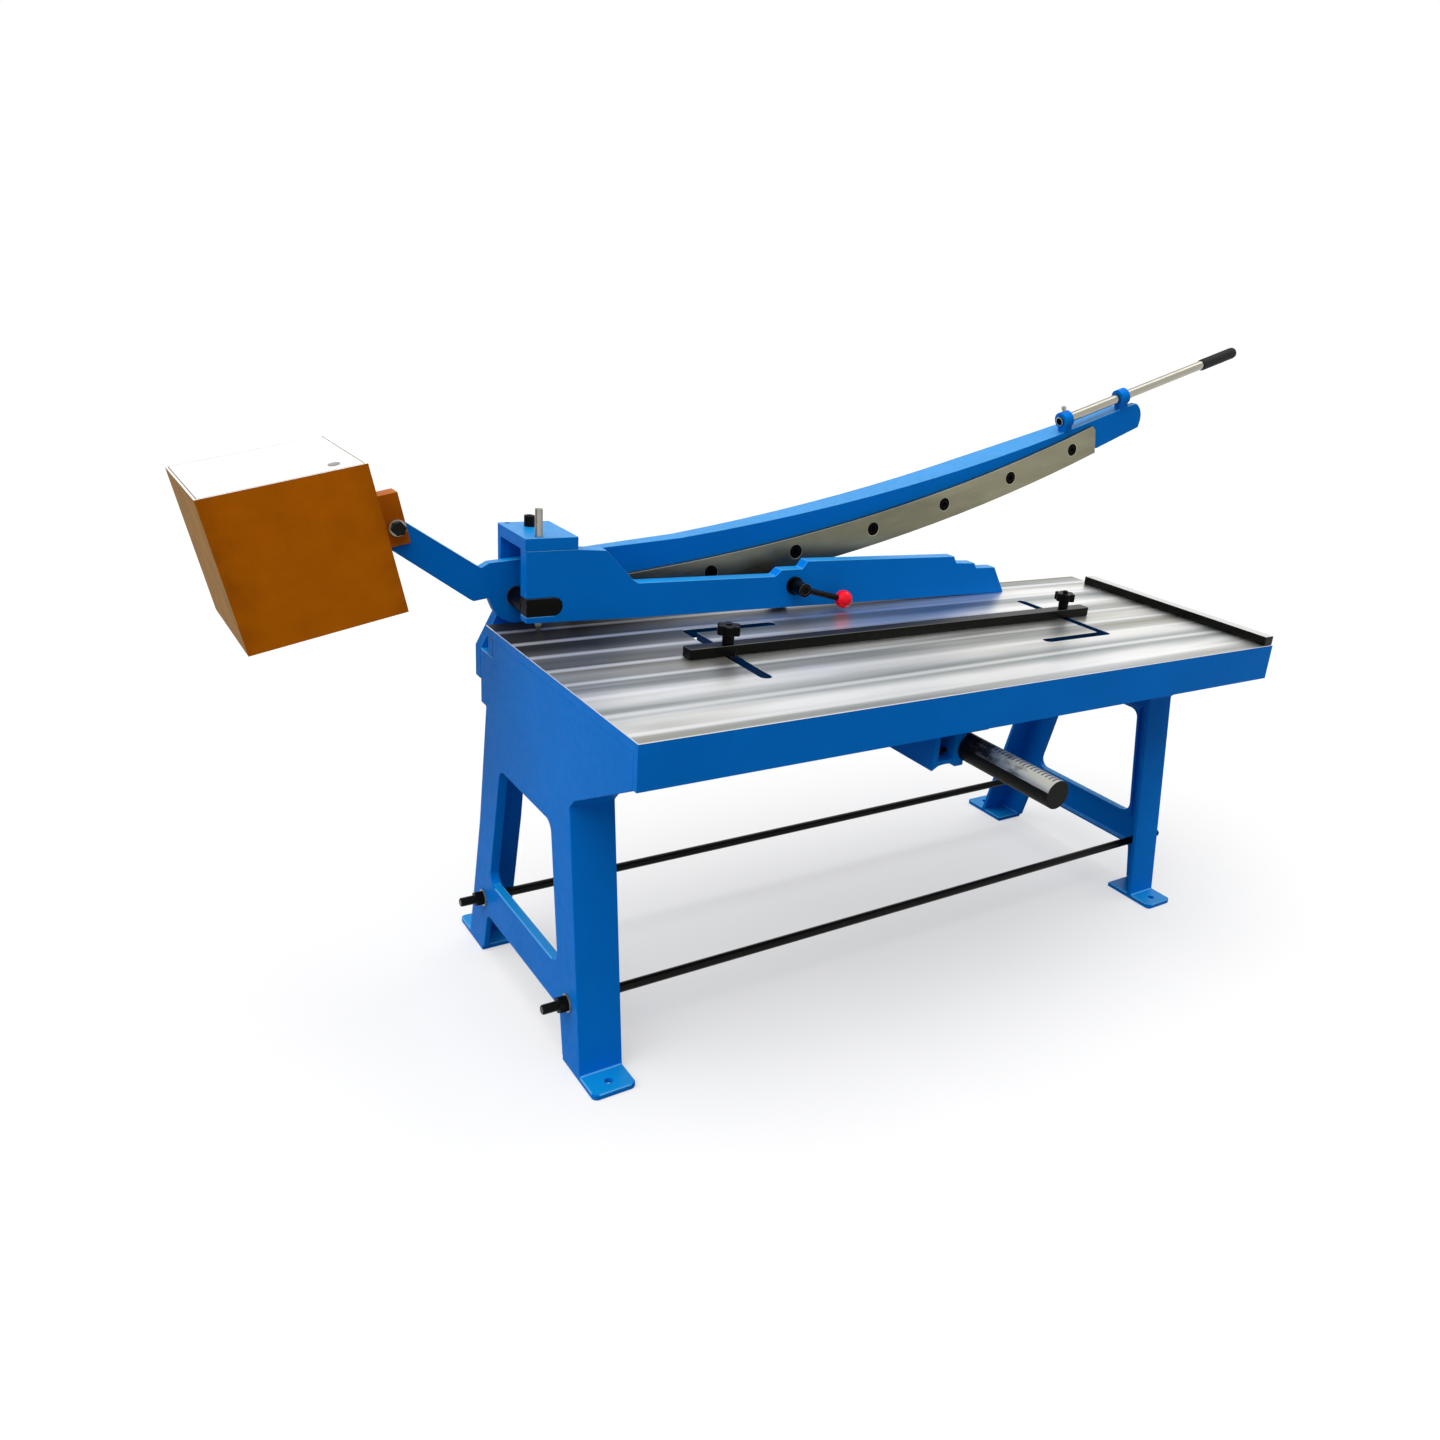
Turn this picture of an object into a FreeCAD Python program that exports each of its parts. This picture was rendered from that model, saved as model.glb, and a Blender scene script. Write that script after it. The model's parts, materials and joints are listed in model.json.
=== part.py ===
import FreeCAD, Part
import math
import os

import Sketcher
from FreeCAD import Vector

# Manual bench shear. Millimetres, +Z up, +X to the right, +Y to the back.
# The origin lies on the floor, at the centre of the four floor bolts.

doc = FreeCAD.newDocument("BenchShear")
sheet = doc.addObject("Spreadsheet::Sheet", "Sizes")

SIZES = {
    # table
    "table_length": 1700,
    "table_depth": 676,
    "table_height": 782,
    "table_plate": 20,
    "apron_height": 86,
    "apron_wall": 14,
    "rear_wall": 24,
    "rear_wall_height": 58,
    "rib_wall": 12,
    "rib_height": 58,
    # floor bolts and feet
    "floor_bolt_pitch": 680,
    "floor_bolt_hole": 14,
    "front_overhang": 156,
    "foot_width": 90,
    "foot_plate": 12,
    "foot_lip": 32,
    "foot_reach": 148,
    # leg castings
    "leg_web": 12,
    "leg_flange": 12,
    "rim_width": 20,
    "rim_wall": 9,
    "bearing_pad_width": 150,
    # tie rods
    "tie_rod_diameter": 20,
    "tie_rod_stub": 53,
    # lower blade
    "lower_blade_height": 50,
    "lower_blade_thickness": 12,
    "lower_blade_start": 165,
    "blade_gap": 0.3,
    # pivot
    "pivot_inset": 70,
    "pivot_rise": 50,
    "shaft_diameter": 42,
    "journal_diameter": 36,
    "bushing_wall": 4,
    "running_gap": 0.05,
    "arm_side_gap": 0.7,
    "upright_thickness": 29,
    "upright_neck": 14,
    "upright_radius": 33,
    # blade arm and upper blade
    "open_angle": 12.4,
    "arm_thickness": 20,
    "arm_flange": 11,
    "arm_boss_radius": 55,
    "arm_straight_end": 1800,
    "flange_bow": 88,
    "blade_thickness": 12,
    "blade_width": 75,
    "blade_start": 95,
    "blade_end": 1663,
    "blade_bolt_pitch": 227.4,
    "blade_bolt_first": 209.7,
    "blade_bolt_diameter": 16,
    "blade_bolt_head": 33,
    # handle
    "ring_station": 34,
    "handle_stand_off": 29.5,
    "set_screw_diameter": 8,
    "handle_slope": 5.08,
    "handle_diameter": 25,
    "handle_wall": 3,
    "handle_length": 640,
    "ring_diameter": 45,
    "ring_width": 28,
    "ring_spacing": 220,
    "grip_length": 148,
    "grip_diameter": 30,
    # counterweight
    "box_width": 272,
    "box_depth": 298,
    "box_height": 272,
    "box_wall": 4,
    "ballast_height": 163,
    "box_reach": 243,
    "box_base": 81,
    "box_bolt_diameter": 16,
    "ear_thickness": 8,
    "plug_diameter": 16,
    # hold-down
    "beam_setback": 55,
    "beam_thickness": 30,
    "beam_end": 1347,
    "cheek_inset": 50,
    "cheek_height": 166.6,
    "slot_height": 38,
    "slot_end": 126,
    "block_gap": 1,
    "cap_width": 108.4,
    "cap_thickness": 25.4,
    "rear_cheek": 16,
    "rear_cheek_gap": 0.5,
    "adjusting_screw_diameter": 15,
    "adjusting_screw_station": 81,
    "stop_screw_diameter": 12,
    # cam lever
    "cam_station": 680,
    "cam_height": 60,
    "cam_shaft_diameter": 20,
    "cam_lift": 8.5,
    "cam_thickness": 14,
    "lever_length": 122,
    "lever_droop": 14.7,
    "lever_diameter": 14,
    "ball_diameter": 42,
    # fence
    "fence_start": 280,
    "fence_length": 1126,
    "fence_distance": 344,
    "fence_depth": 30,
    "fence_height": 22,
    "slot_width": 25,
    "left_slot_station": 372.5,
    "right_slot_station": 1328.5,
    "stud_diameter": 12,
    "knob_diameter": 50,
    "knob_height": 38,
    # squaring bar
    "squaring_bar_width": 32,
    "squaring_bar_length": 597,
    "squaring_bar_height": 22,
    # strip gauge
    "gauge_station": 763,
    "gauge_drop": 140,
    "gauge_diameter": 58,
    "gauge_wall": 7,
    "gauge_overhang": 211,
    "gauge_length": 971,
    "gauge_bracket_length": 360,
    "gauge_ring_length": 170,
    "gauge_flange": 12,
    "gauge_screw_diameter": 8,
    "gauge_screw_length": 24,
    "gauge_stop_rise": 12,
    "gauge_stop_width": 160,
    "gauge_stop_thickness": 10,
    # general fits
    "fit_gap": 0.1,
    "rest_gap": 0.3,
}


class Size:
    """A size as its number and as the expression that gives it."""

    def __init__(self, text, value):
        self.text = text
        self.value = float(value)

    def __float__(self):
        return self.value

    def __add__(self, other):
        other = size_of(other)
        return Size("(%s + %s)" % (self.text, other.text), self.value + other.value)

    def __sub__(self, other):
        other = size_of(other)
        return Size("(%s - %s)" % (self.text, other.text), self.value - other.value)

    def __mul__(self, other):
        other = size_of(other)
        return Size("(%s * %s)" % (self.text, other.text), self.value * other.value)

    def __truediv__(self, other):
        other = size_of(other)
        return Size("(%s / %s)" % (self.text, other.text), self.value / other.value)

    def __radd__(self, other):
        return size_of(other) + self

    def __rsub__(self, other):
        return size_of(other) - self

    def __rmul__(self, other):
        return size_of(other) * self

    def __neg__(self):
        return size_of(0) - self


def size_of(number):
    """Any number as a Size."""
    return number if isinstance(number, Size) else Size("(%r)" % float(number), number)


def sine(angle):
    return Size("sin(%s)" % angle.text, math.sin(math.radians(angle.value)))


def cosine(angle):
    return Size("cos(%s)" % angle.text, math.cos(math.radians(angle.value)))


def fill_sheet():
    """Put each driving size in the sheet and give it back under its name."""
    named = {}
    for row, (name, value) in enumerate(SIZES.items(), start=1):
        sheet.set("A%d" % row, name)
        sheet.set("B%d" % row, str(value))
        sheet.setAlias("B%d" % row, name)
        named[name] = Size("Sizes.%s" % name, value)
    doc.recompute()
    return type("Sizes", (), named)


S = fill_sheet()

# Datum lines of the whole shear, from the driving sizes.
left = -S.table_length / 2
right = S.table_length / 2
front = -S.floor_bolt_pitch / 2 - S.front_overhang
back = front + S.table_depth
top = S.table_height

pivot_x = left + S.pivot_inset
pivot_z = top + S.pivot_rise
arm_front = back + S.blade_gap + S.blade_thickness
arm_rear = arm_front + S.arm_thickness
upright_front = arm_rear + S.arm_side_gap
upright_rear = upright_front + S.upright_thickness
neck_rear = upright_front + S.upright_neck
rear_cheek_front = neck_rear + S.rear_cheek_gap
rear_cheek_rear = rear_cheek_front + S.rear_cheek
beam_rear = back - S.beam_setback
beam_front = beam_rear - S.beam_thickness
shaft_radius = S.shaft_diameter / 2
journal_radius = S.journal_diameter / 2

nodes = []

# A turn that takes +Z to each of the other directions.
TURNS = {
    "+Z": "rotation(vector(0; 0; 1); 0)",
    "-Z": "rotation(vector(1; 0; 0); 180)",
    "+Y": "rotation(vector(1; 0; 0); -90)",
    "-Y": "rotation(vector(1; 0; 0); 90)",
    "+X": "rotation(vector(0; 1; 0); 90)",
    "-X": "rotation(vector(0; 1; 0); -90)",
}

OPPOSITE = {"+Z": "-Z", "-Z": "+Z", "+Y": "-Y", "-Y": "+Y", "+X": "-X", "-X": "+X"}


def placement_text(at, turn):
    """A placement as an expression, from a point and a turn."""
    x, y, z = [size_of(value).text for value in at]
    return "placement(vector(%s; %s; %s); %s)" % (x, y, z, turn)


def lean(angle):
    """The turn that takes +Z down to the right until it makes this angle with +X."""
    return "rotation(vector(0; 1; 0); %s)" % (90 - size_of(angle)).text


# The arm's own frame: its origin is on the pivot axis in the arm's front face.
ARM = placement_text(
    (pivot_x, arm_front, pivot_z), "rotation(vector(0; 1; 0); -Sizes.open_angle)"
)


def place(item, at, turn="+Z", frame=None):
    """Seat an object at a point, turned, in the frame of the part or of the arm."""
    text = placement_text(at, TURNS.get(turn, turn))
    item.setExpression("Placement", text if frame is None else "%s * %s" % (frame, text))
    return item


def set_sizes(item, **sizes):
    """Tie properties of an object to sizes."""
    for name, value in sizes.items():
        if isinstance(value, Size):
            item.setExpression(name, value.text)
        else:
            setattr(item, name, value)
    return item


def keep(item, name):
    """Make an object one of the part's named pieces."""
    item.Label = name
    nodes.append(item)
    return item


def cylinder(name, at, turn, radius, length, frame=None):
    item = doc.addObject("Part::Cylinder", name)
    set_sizes(item, Radius=radius, Height=length)
    return place(item, at, turn, frame)


def cone(name, at, turn, radius, end_radius, length, frame=None):
    item = doc.addObject("Part::Cone", name)
    set_sizes(item, Radius1=radius, Radius2=end_radius, Height=length)
    return place(item, at, turn, frame)


def hexagon(name, at, turn, across_flats, length, frame=None):
    item = doc.addObject("Part::Prism", name)
    set_sizes(item, Polygon=6, Circumradius=across_flats * 0.57735, Height=length)
    return place(item, at, turn, frame)


def block(name, low, high, frame=None):
    item = doc.addObject("Part::Box", name)
    spans = [size_of(b) - size_of(a) for a, b in zip(low, high)]
    set_sizes(item, Length=spans[0], Width=spans[1], Height=spans[2])
    return place(item, low, "+Z", frame)


def ball(name, at, radius, frame=None):
    item = doc.addObject("Part::Sphere", name)
    set_sizes(item, Radius=radius)
    return place(item, at, "+Z", frame)


def join(name, *items):
    item = doc.addObject("Part::MultiFuse", name)
    item.Shapes = list(items)
    return item


def overlap(name, *items):
    item = doc.addObject("Part::MultiCommon", name)
    item.Shapes = list(items)
    return item


def group(name, items):
    item = doc.addObject("Part::Compound", name)
    item.Links = list(items)
    return item


def cut(name, base, *tools):
    item = doc.addObject("Part::Cut", name)
    item.Base = base
    item.Tool = tools[0] if len(tools) == 1 else group(name + "_tools", tools)
    return item


def pin(sketch, geometry, point, u, v):
    """Hold a sketch point at two distances from the sketch's origin."""
    for kind, value in (("DistanceX", size_of(u)), ("DistanceY", size_of(v))):
        constraint = Sketcher.Constraint(kind, -1, 1, geometry, point, value.value)
        index = sketch.addConstraint(constraint)
        sketch.setExpression("Constraints[%d]" % index, value.text)


def hold_radius(sketch, geometry, radius):
    index = sketch.addConstraint(Sketcher.Constraint("Radius", geometry, radius.value))
    sketch.setExpression("Constraints[%d]" % index, radius.text)


def arc_between(start, end, rise):
    """An arc whose middle lies the given rise to the left of the line from start to end."""
    chord = end - start
    side = Vector(-chord.y, chord.x, 0).normalize()
    radius = (chord.Length ** 2 / 4 + rise ** 2) / (2 * abs(rise))
    centre = (start + end) * 0.5 + side * (rise - math.copysign(radius, rise))
    first, last = (end, start) if rise > 0 else (start, end)
    begins = math.atan2(first.y - centre.y, first.x - centre.x)
    ends = math.atan2(last.y - centre.y, last.x - centre.x)
    if ends < begins:
        ends += 2 * math.pi
    return Part.ArcOfCircle(Part.Circle(centre, Vector(0, 0, 1), radius), begins, ends)


def hold_arc(sketch, geometry, start, end):
    """Fix an arc whose two ends are held: a half circle by its centre, others by radius."""
    across = size_of(end[0]) - start[0]
    along = size_of(end[1]) - start[1]
    rise = size_of(start[2])
    if rise.value < 0:
        rise = -rise
    radius = ((across * across + along * along) / 4 + rise * rise) / (rise * 2)
    half_chord = math.hypot(float(across), float(along)) / 2
    if abs(half_chord - float(radius)) > 1e-6:
        hold_radius(sketch, geometry, radius)
        return
    kind, value = ("DistanceY", start[1]) if abs(float(along)) < 1e-6 else ("DistanceX", start[0])
    value = size_of(value)
    index = sketch.addConstraint(Sketcher.Constraint(kind, -1, 1, geometry, 3, value.value))
    sketch.setExpression("Constraints[%d]" % index, value.text)


def outline(*corners):
    """A closed outline. A third value makes the edge after a corner an arc of that rise."""

    def draw(sketch):
        places = [Vector(float(size_of(c[0])), float(size_of(c[1])), 0) for c in corners]
        edges = []
        for index, corner in enumerate(corners):
            start = places[index]
            end = places[(index + 1) % len(corners)]
            if len(corner) == 2:
                edge = sketch.addGeometry(Part.LineSegment(start, end), False)
                edges.append((edge, 1, 2))
                continue
            arc = arc_between(start, end, float(size_of(corner[2])))
            edge = sketch.addGeometry(arc, False)
            edges.append((edge, 2, 1) if float(size_of(corner[2])) > 0 else (edge, 1, 2))
        for index, (edge, first, last) in enumerate(edges):
            following = edges[(index + 1) % len(edges)]
            joint = Sketcher.Constraint("Coincident", edge, last, following[0], following[1])
            sketch.addConstraint(joint)
        for (edge, first, last), corner in zip(edges, corners):
            pin(sketch, edge, first, corner[0], corner[1])
        for index, corner in enumerate(corners):
            if len(corner) == 3:
                far = corners[(index + 1) % len(corners)]
                hold_arc(sketch, edges[index][0], corner, far)

    return draw


def rectangle(low, high):
    return outline(low, (high[0], low[1]), high, (low[0], high[1]))


def slot_along_u(start, end, v, radius):
    """A slot with round ends between two centres on a line along u."""
    return outline(
        (start, v - radius), (end, v - radius, -radius), (end, v + radius), (start, v + radius, -radius)
    )


def slot_along_v(u, start, end, radius):
    """A slot with round ends between two centres on a line along v."""
    return outline(
        (u - radius, start, -radius), (u + radius, start), (u + radius, end, -radius), (u - radius, end)
    )


def circle(u, v, radius):
    """A round outline."""

    def draw(sketch):
        centre = Vector(float(size_of(u)), float(size_of(v)), 0)
        size = size_of(radius)
        edge = sketch.addGeometry(Part.Circle(centre, Vector(0, 0, 1), float(size)), False)
        pin(sketch, edge, 3, u, v)
        hold_radius(sketch, edge, size)

    return draw


class Casting:
    """A body that is padded, pocketed and rounded in the part's own directions."""

    # For each plane: the way its sketches face, as a sign along the third axis.
    FACING = {"XY_Plane": 1, "YZ_Plane": 1, "XZ_Plane": -1}

    def __init__(self, name, at, frame=None):
        self.body = doc.addObject("PartDesign::Body", name)
        place(self.body, at, "+Z", frame)

    def sketch(self, plane, shapes, start):
        item = self.body.newObject("Sketcher::SketchObject", self.body.Name + "_sketch")
        origin = [f for f in self.body.Origin.OriginFeatures if f.Role == plane]
        item.AttachmentSupport = [(origin[0], "")]
        item.MapMode = "FlatFace"
        offset = size_of(start) * self.FACING[plane]
        item.setExpression("AttachmentOffset.Base.z", offset.text)
        for draw in shapes:
            draw(item)
        return item

    def pad(self, plane, shapes, start, thickness, forward=True):
        """Add material from one height to another along the plane's axis."""
        profile = self.sketch(plane, shapes, start)
        item = self.body.newObject("PartDesign::Pad", self.body.Name + "_pad")
        item.Profile = profile
        set_sizes(item, Length=thickness)
        item.Reversed = (self.FACING[plane] > 0) != forward
        doc.recompute()
        return item

    def pocket(self, plane, shapes, start, depth, forward=True):
        """Take material away from one height to another along the plane's axis."""
        before = self.body.Shape.Volume
        profile = self.sketch(plane, shapes, start)
        item = self.body.newObject("PartDesign::Pocket", self.body.Name + "_pocket")
        item.Profile = profile
        set_sizes(item, Length=depth)
        item.Reversed = (self.FACING[plane] > 0) == forward
        doc.recompute()
        if self.body.Shape.Volume >= before - 1e-6:
            raise ValueError("a pocket of %s cuts nothing" % self.body.Label)
        return item

    def round(self, axis, points, radius):
        """Round the straight edges along an axis that pass through the given points."""
        doc.recompute()
        base = self.body.Tip
        names = []
        for number, edge in enumerate(base.Shape.Edges, start=1):
            if edge.Curve.TypeId != "Part::GeomLine" or len(edge.Vertexes) < 2:
                continue
            ends = [vertex.Point for vertex in edge.Vertexes]
            run = (ends[1] - ends[0]).normalize()
            if abs(abs(run[axis]) - 1) > 1e-6:
                continue
            flat = [ends[0][i] for i in range(3) if i != axis]
            for point in points:
                goal = [float(size_of(value)) for value in point]
                if math.dist(flat, goal) < 0.01:
                    names.append("Edge%d" % number)
        item = self.body.newObject("PartDesign::Fillet", self.body.Name + "_round")
        item.Base = (base, names)
        set_sizes(item, Radius=radius)
        doc.recompute()
        return item

    def done(self, name):
        return keep(self.body, name)


# The side frames are drawn under a table of this depth and height, and follow the real one.
DRAWN_DEPTH = 676
DRAWN_HEIGHT = 782


def across_table(y):
    """A place from the table's front edge, moved with the table's depth."""
    return S.table_depth * y / DRAWN_DEPTH


def below_table(z):
    """A height from the table's top, moved with the table's height."""
    return S.table_height * z / DRAWN_HEIGHT


# Where the legs' outer edges meet the feet, from the table's front edge.
toe_line = S.front_overhang + 34
heel_line = S.front_overhang + S.floor_bolt_pitch - 36

# The arch between the feet of a side frame: its top, and its insets from the two lines.
arch_top = below_table(-672)
FRONT_ARCH_INSET = 101
REAR_ARCH_INSET = 114

# Where the tie rods pass through the side frames.
FRONT_ROD = (toe_line + 60, below_table(-635))
REAR_ROD = (heel_line - 94, below_table(-638))

# Where the bolts hold the table on the side frames, from the table's front.
TABLE_BOLT_ROWS = [across_table(y) for y in (60, 320, 580)]
TABLE_BOLT_INSET = 40
SQUARING_SCREW_ROWS = [S.squaring_bar_length * share for share in (0.075, 0.5, 0.93)]
SQUARING_SCREW_INSET = 20

# Where the upright is bolted to the left casting, from the table's top left corner.
UPRIGHT_BOLTS = [(x, z) for x in (28, 124) for z in (-78, -106)]
UPRIGHT_FOOT = (190, -125)
UPRIGHT_SHOULDER = -59

wall_front = S.table_depth - S.lower_blade_thickness - S.rear_wall
upright_bolt_radius = size_of(6)
table_bolt_radius = size_of(6)
squaring_screw_radius = size_of(4)


def leg_casting(name, side):
    """One side frame: a web with an opening, flanges on both legs and two feet."""
    edge = left if side > 0 else right
    frame = Casting(name, (edge, front, top))
    inward = side > 0
    floor = -S.table_height
    foot_top = floor + S.foot_plate
    under_plate = -S.table_plate
    seat_low = under_plate - S.leg_flange
    ledge = -S.rear_wall_height
    flange = S.leg_flange
    pad_rear = upright_front - front
    chin = (S.apron_wall + 12, -S.apron_height - 8)
    knee = (across_table(239), below_table(-203))
    shin = (across_table(258), below_table(-223))
    toe = (toe_line, foot_top)
    hip = (pad_rear - 28, below_table(-176))
    hock = (pad_rear + 19, below_table(-458))
    heel = (heel_line, foot_top)
    crotch_front = (toe_line + FRONT_ARCH_INSET, arch_top)
    crotch_rear = (heel_line - REAR_ARCH_INSET, arch_top)
    crest = [(pad_rear, hip[1]), (pad_rear, ledge)] if side > 0 else [(hip[0], ledge)]
    window_top = below_table(-290)
    window_low = below_table(-582)
    opening = [
        (across_table(344), window_top),
        (across_table(605), window_top),
        (heel_line - 130, window_low),
        (toe_line + 113, window_low),
    ]
    outer = outline(
        (S.apron_wall, under_plate),
        (S.apron_wall, -S.apron_height),
        chin,
        knee,
        shin,
        toe,
        (toe[0] + 84, foot_top),
        crotch_front,
        crotch_rear,
        (heel[0] - 89, foot_top),
        heel,
        hock,
        hip,
        *crest,
        (wall_front, ledge),
        (wall_front, under_plate),
    )
    rod_hole = S.tie_rod_diameter / 2 + S.fit_gap
    rods = [circle(y, z, rod_hole) for y, z in (FRONT_ROD, REAR_ROD)]
    frame.pad("YZ_Plane", [outer, outline(*opening)] + rods, 0, S.leg_web, inward)
    frame.round(0, [crotch_front, crotch_rear], 20)
    rim = [(y + S.rim_wall * a, z + S.rim_wall * b) for (y, z), (a, b) in
           zip(opening, ((-1, 1), (1, 1), (1, -1), (-1, -1)))]
    frame.pad("YZ_Plane", [outline(*rim), outline(*opening)], 0, S.rim_width, inward)
    frame.round(0, opening, 25)
    shin_flange = outline(
        chin,
        knee,
        shin,
        toe,
        (toe[0] + flange, foot_top),
        (shin[0] + flange, shin[1] + flange / 2),
        (knee[0] + flange / 4, knee[1] + flange),
        (chin[0] + flange / 4, chin[1] + flange),
    )
    frame.pad("YZ_Plane", [shin_flange], 0, S.foot_width, inward)
    calf_flange = outline(
        hip,
        hock,
        heel,
        (heel[0] - flange, foot_top),
        (hock[0] - flange, hock[1]),
        (hip[0] - flange, hip[1]),
    )
    frame.pad("YZ_Plane", [calf_flange], 0, S.foot_width, inward)
    tie = rectangle((crotch_front[0] + 9, arch_top), (crotch_rear[0] - 6, arch_top + S.rim_wall))
    frame.pad("YZ_Plane", [tie], 0, S.rim_width, inward)
    if side > 0:
        pad = rectangle((hip[0] - flange, hip[1]), (pad_rear, ledge))
        frame.pad("YZ_Plane", [pad], 0, S.bearing_pad_width, inward)
        holes = [circle(x, z, upright_bolt_radius + S.fit_gap) for x, z in UPRIGHT_BOLTS]
        frame.pocket("XZ_Plane", holes, pad_rear, 24, False)
    sides = (size_of(0), S.foot_width) if side > 0 else (-S.foot_width, size_of(0))
    seat_sides = (size_of(0), S.foot_width * 0.67) if side > 0 else (-S.foot_width * 0.67, size_of(0))
    seat = [rectangle((seat_sides[0], S.apron_wall), (seat_sides[1], wall_front))]
    for row in TABLE_BOLT_ROWS:
        seat.append(circle(TABLE_BOLT_INSET * side, row, table_bolt_radius + S.fit_gap))
    if side < 0:
        for row in SQUARING_SCREW_ROWS:
            seat.append(circle(SQUARING_SCREW_INSET * side, row, squaring_screw_radius + S.fit_gap))
    frame.pad("XY_Plane", seat, seat_low, flange)
    for hole_y, reach in ((S.front_overhang, 1), (S.front_overhang + S.floor_bolt_pitch, -1)):
        tip = hole_y - S.foot_lip * reach
        root = tip + S.foot_reach * reach
        near, far = (tip, root) if reach > 0 else (root, tip)
        foot = [rectangle((sides[0], near), (sides[1], far))]
        foot.append(circle((sides[0] + sides[1]) / 2, hole_y, S.floor_bolt_hole / 2))
        frame.pad("XY_Plane", foot, floor, S.foot_plate)
        frame.round(2, [(x, tip) for x in sides], 12)
    return frame.done(name)


# Stations of the ribs under the table, from its left end: clear of slots and gauge.
RIB_STATIONS = (240, 600, 850, 1085, 1430)
LOWER_BLADE_SCREWS = 8
lower_screw_radius = size_of(5)
lower_screw_height = -S.lower_blade_height / 2

# The L slots: their straight legs' ends from the table's front, and their arms' ends.
slot_front = size_of(216)
left_slot_rear = size_of(518)
right_slot_rear = size_of(499.5)
left_slot_reach = S.left_slot_station + 202
right_slot_reach = S.right_slot_station - 190

# The bolt holes from below stop this far under the table's face.
TABLE_SKIN = 4

# The gauge bracket: its lugs, walls and the ring that it keeps round the bar.
GAUGE_LUG = 30
GAUGE_WALL = 14
GAUGE_RING = 8
GAUGE_SCREW_ANGLE = 11
GAUGE_END_WALL = 10
STOP_PLUG_LENGTH = 40
gauge_bracket_y = front + S.apron_wall + 26
gauge_left = S.gauge_station - S.gauge_diameter / 2 - 64.5
gauge_right = S.gauge_station + S.gauge_diameter / 2 + 20
gauge_bolt_stations = (gauge_left - GAUGE_LUG / 2, gauge_right + GAUGE_LUG / 2)
gauge_bolt_rows = [gauge_bracket_y - front + inset for inset in (40, S.gauge_bracket_length - 40)]
gauge_bolt_radius = size_of(5)


def lower_screw_stations():
    run = S.table_length - S.lower_blade_start - 120
    return [S.lower_blade_start + 60 + run * i / (LOWER_BLADE_SCREWS - 1) for i in range(LOWER_BLADE_SCREWS)]


def table():
    """The table: a slotted plate, welded on a deep front apron, a rear wall and ribs."""
    table = Casting("table_plate", (left, front, top))
    length = S.table_length
    seat = S.table_depth - S.lower_blade_thickness
    start = S.lower_blade_start
    plate = outline(
        (0, 0),
        (length, 0),
        (length, seat),
        (start, seat),
        (start, S.table_depth),
        (0, S.table_depth),
    )
    table.pad("XY_Plane", [plate], -S.table_plate, S.table_plate)
    half = S.slot_width / 2
    legs = [
        slot_along_v(S.left_slot_station, slot_front, left_slot_rear, half),
        slot_along_v(S.right_slot_station, slot_front, right_slot_rear, half),
    ]
    table.pocket("XY_Plane", legs, 0, S.table_plate, False)
    arms = [
        slot_along_u(S.left_slot_station, left_slot_reach, left_slot_rear, half),
        slot_along_u(right_slot_reach, S.right_slot_station, slot_front, half),
    ]
    table.pocket("XY_Plane", arms, 0, S.table_plate, False)
    holes = []
    for inset in (size_of(TABLE_BOLT_INSET), length - TABLE_BOLT_INSET):
        holes += [circle(inset, row, table_bolt_radius + S.fit_gap) for row in TABLE_BOLT_ROWS]
    for x in gauge_bolt_stations:
        holes += [circle(x, y, gauge_bolt_radius + S.fit_gap) for y in gauge_bolt_rows]
    table.pocket("XY_Plane", holes, -S.table_plate, S.table_plate - TABLE_SKIN)
    through = [circle(length - SQUARING_SCREW_INSET, row, squaring_screw_radius + S.fit_gap)
               for row in SQUARING_SCREW_ROWS]
    table.pocket("XY_Plane", through, -S.table_plate, S.table_plate)
    table.done("table_plate")
    under = top - S.table_plate
    apron_low = (left, front, top - S.apron_height)
    keep(block("table_apron", apron_low, (right, front + S.apron_wall, under)), "table_apron")
    wall_low = (left, front + wall_front, top - S.rear_wall_height)
    wall = block("rear_wall_plate", wall_low, (right, front + seat, under))
    drills = []
    for index, x in enumerate(lower_screw_stations()):
        at = (left + x, front + wall_front, top + lower_screw_height)
        radius = lower_screw_radius + S.fit_gap
        drills.append(cylinder("rear_wall_drill_%d" % index, at, "+Y", radius, S.rear_wall))
    keep(cut("table_rear_wall", wall, *drills), "table_rear_wall")
    ribs = []
    for index, x in enumerate(RIB_STATIONS):
        low = (left + x - S.rib_wall / 2, front + S.apron_wall, top - S.rib_height)
        high = (left + x + S.rib_wall / 2, front + wall_front, under)
        ribs.append(block("table_rib_%d" % index, low, high))
    keep(group("table_ribs", ribs), "table_ribs")


def hex_bolt(name, at, turn, radius, length, frame=None, head=None):
    """A hexagon bolt: its shank starts at the point and its head stands behind it."""
    flats = radius * 3
    height = radius * 1.3 if head is None else head
    shank = cylinder(name + "_shank", at, turn, radius, length, frame)
    cap = hexagon(name + "_head", at, OPPOSITE[turn], flats, height, frame)
    return join(name, shank, cap)


def hex_nut(name, at, turn, radius, height, frame=None):
    body = hexagon(name + "_body", at, turn, radius * 3, height, frame)
    bore = cylinder(name + "_bore", at, turn, radius + S.fit_gap, height, frame)
    return cut(name, body, bore)


def washer(name, at, turn, radius, outer, thickness, frame=None):
    disc = cylinder(name + "_disc", at, turn, outer, thickness, frame)
    bore = cylinder(name + "_bore", at, turn, radius + S.fit_gap, thickness, frame)
    return cut(name, disc, bore)


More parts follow.
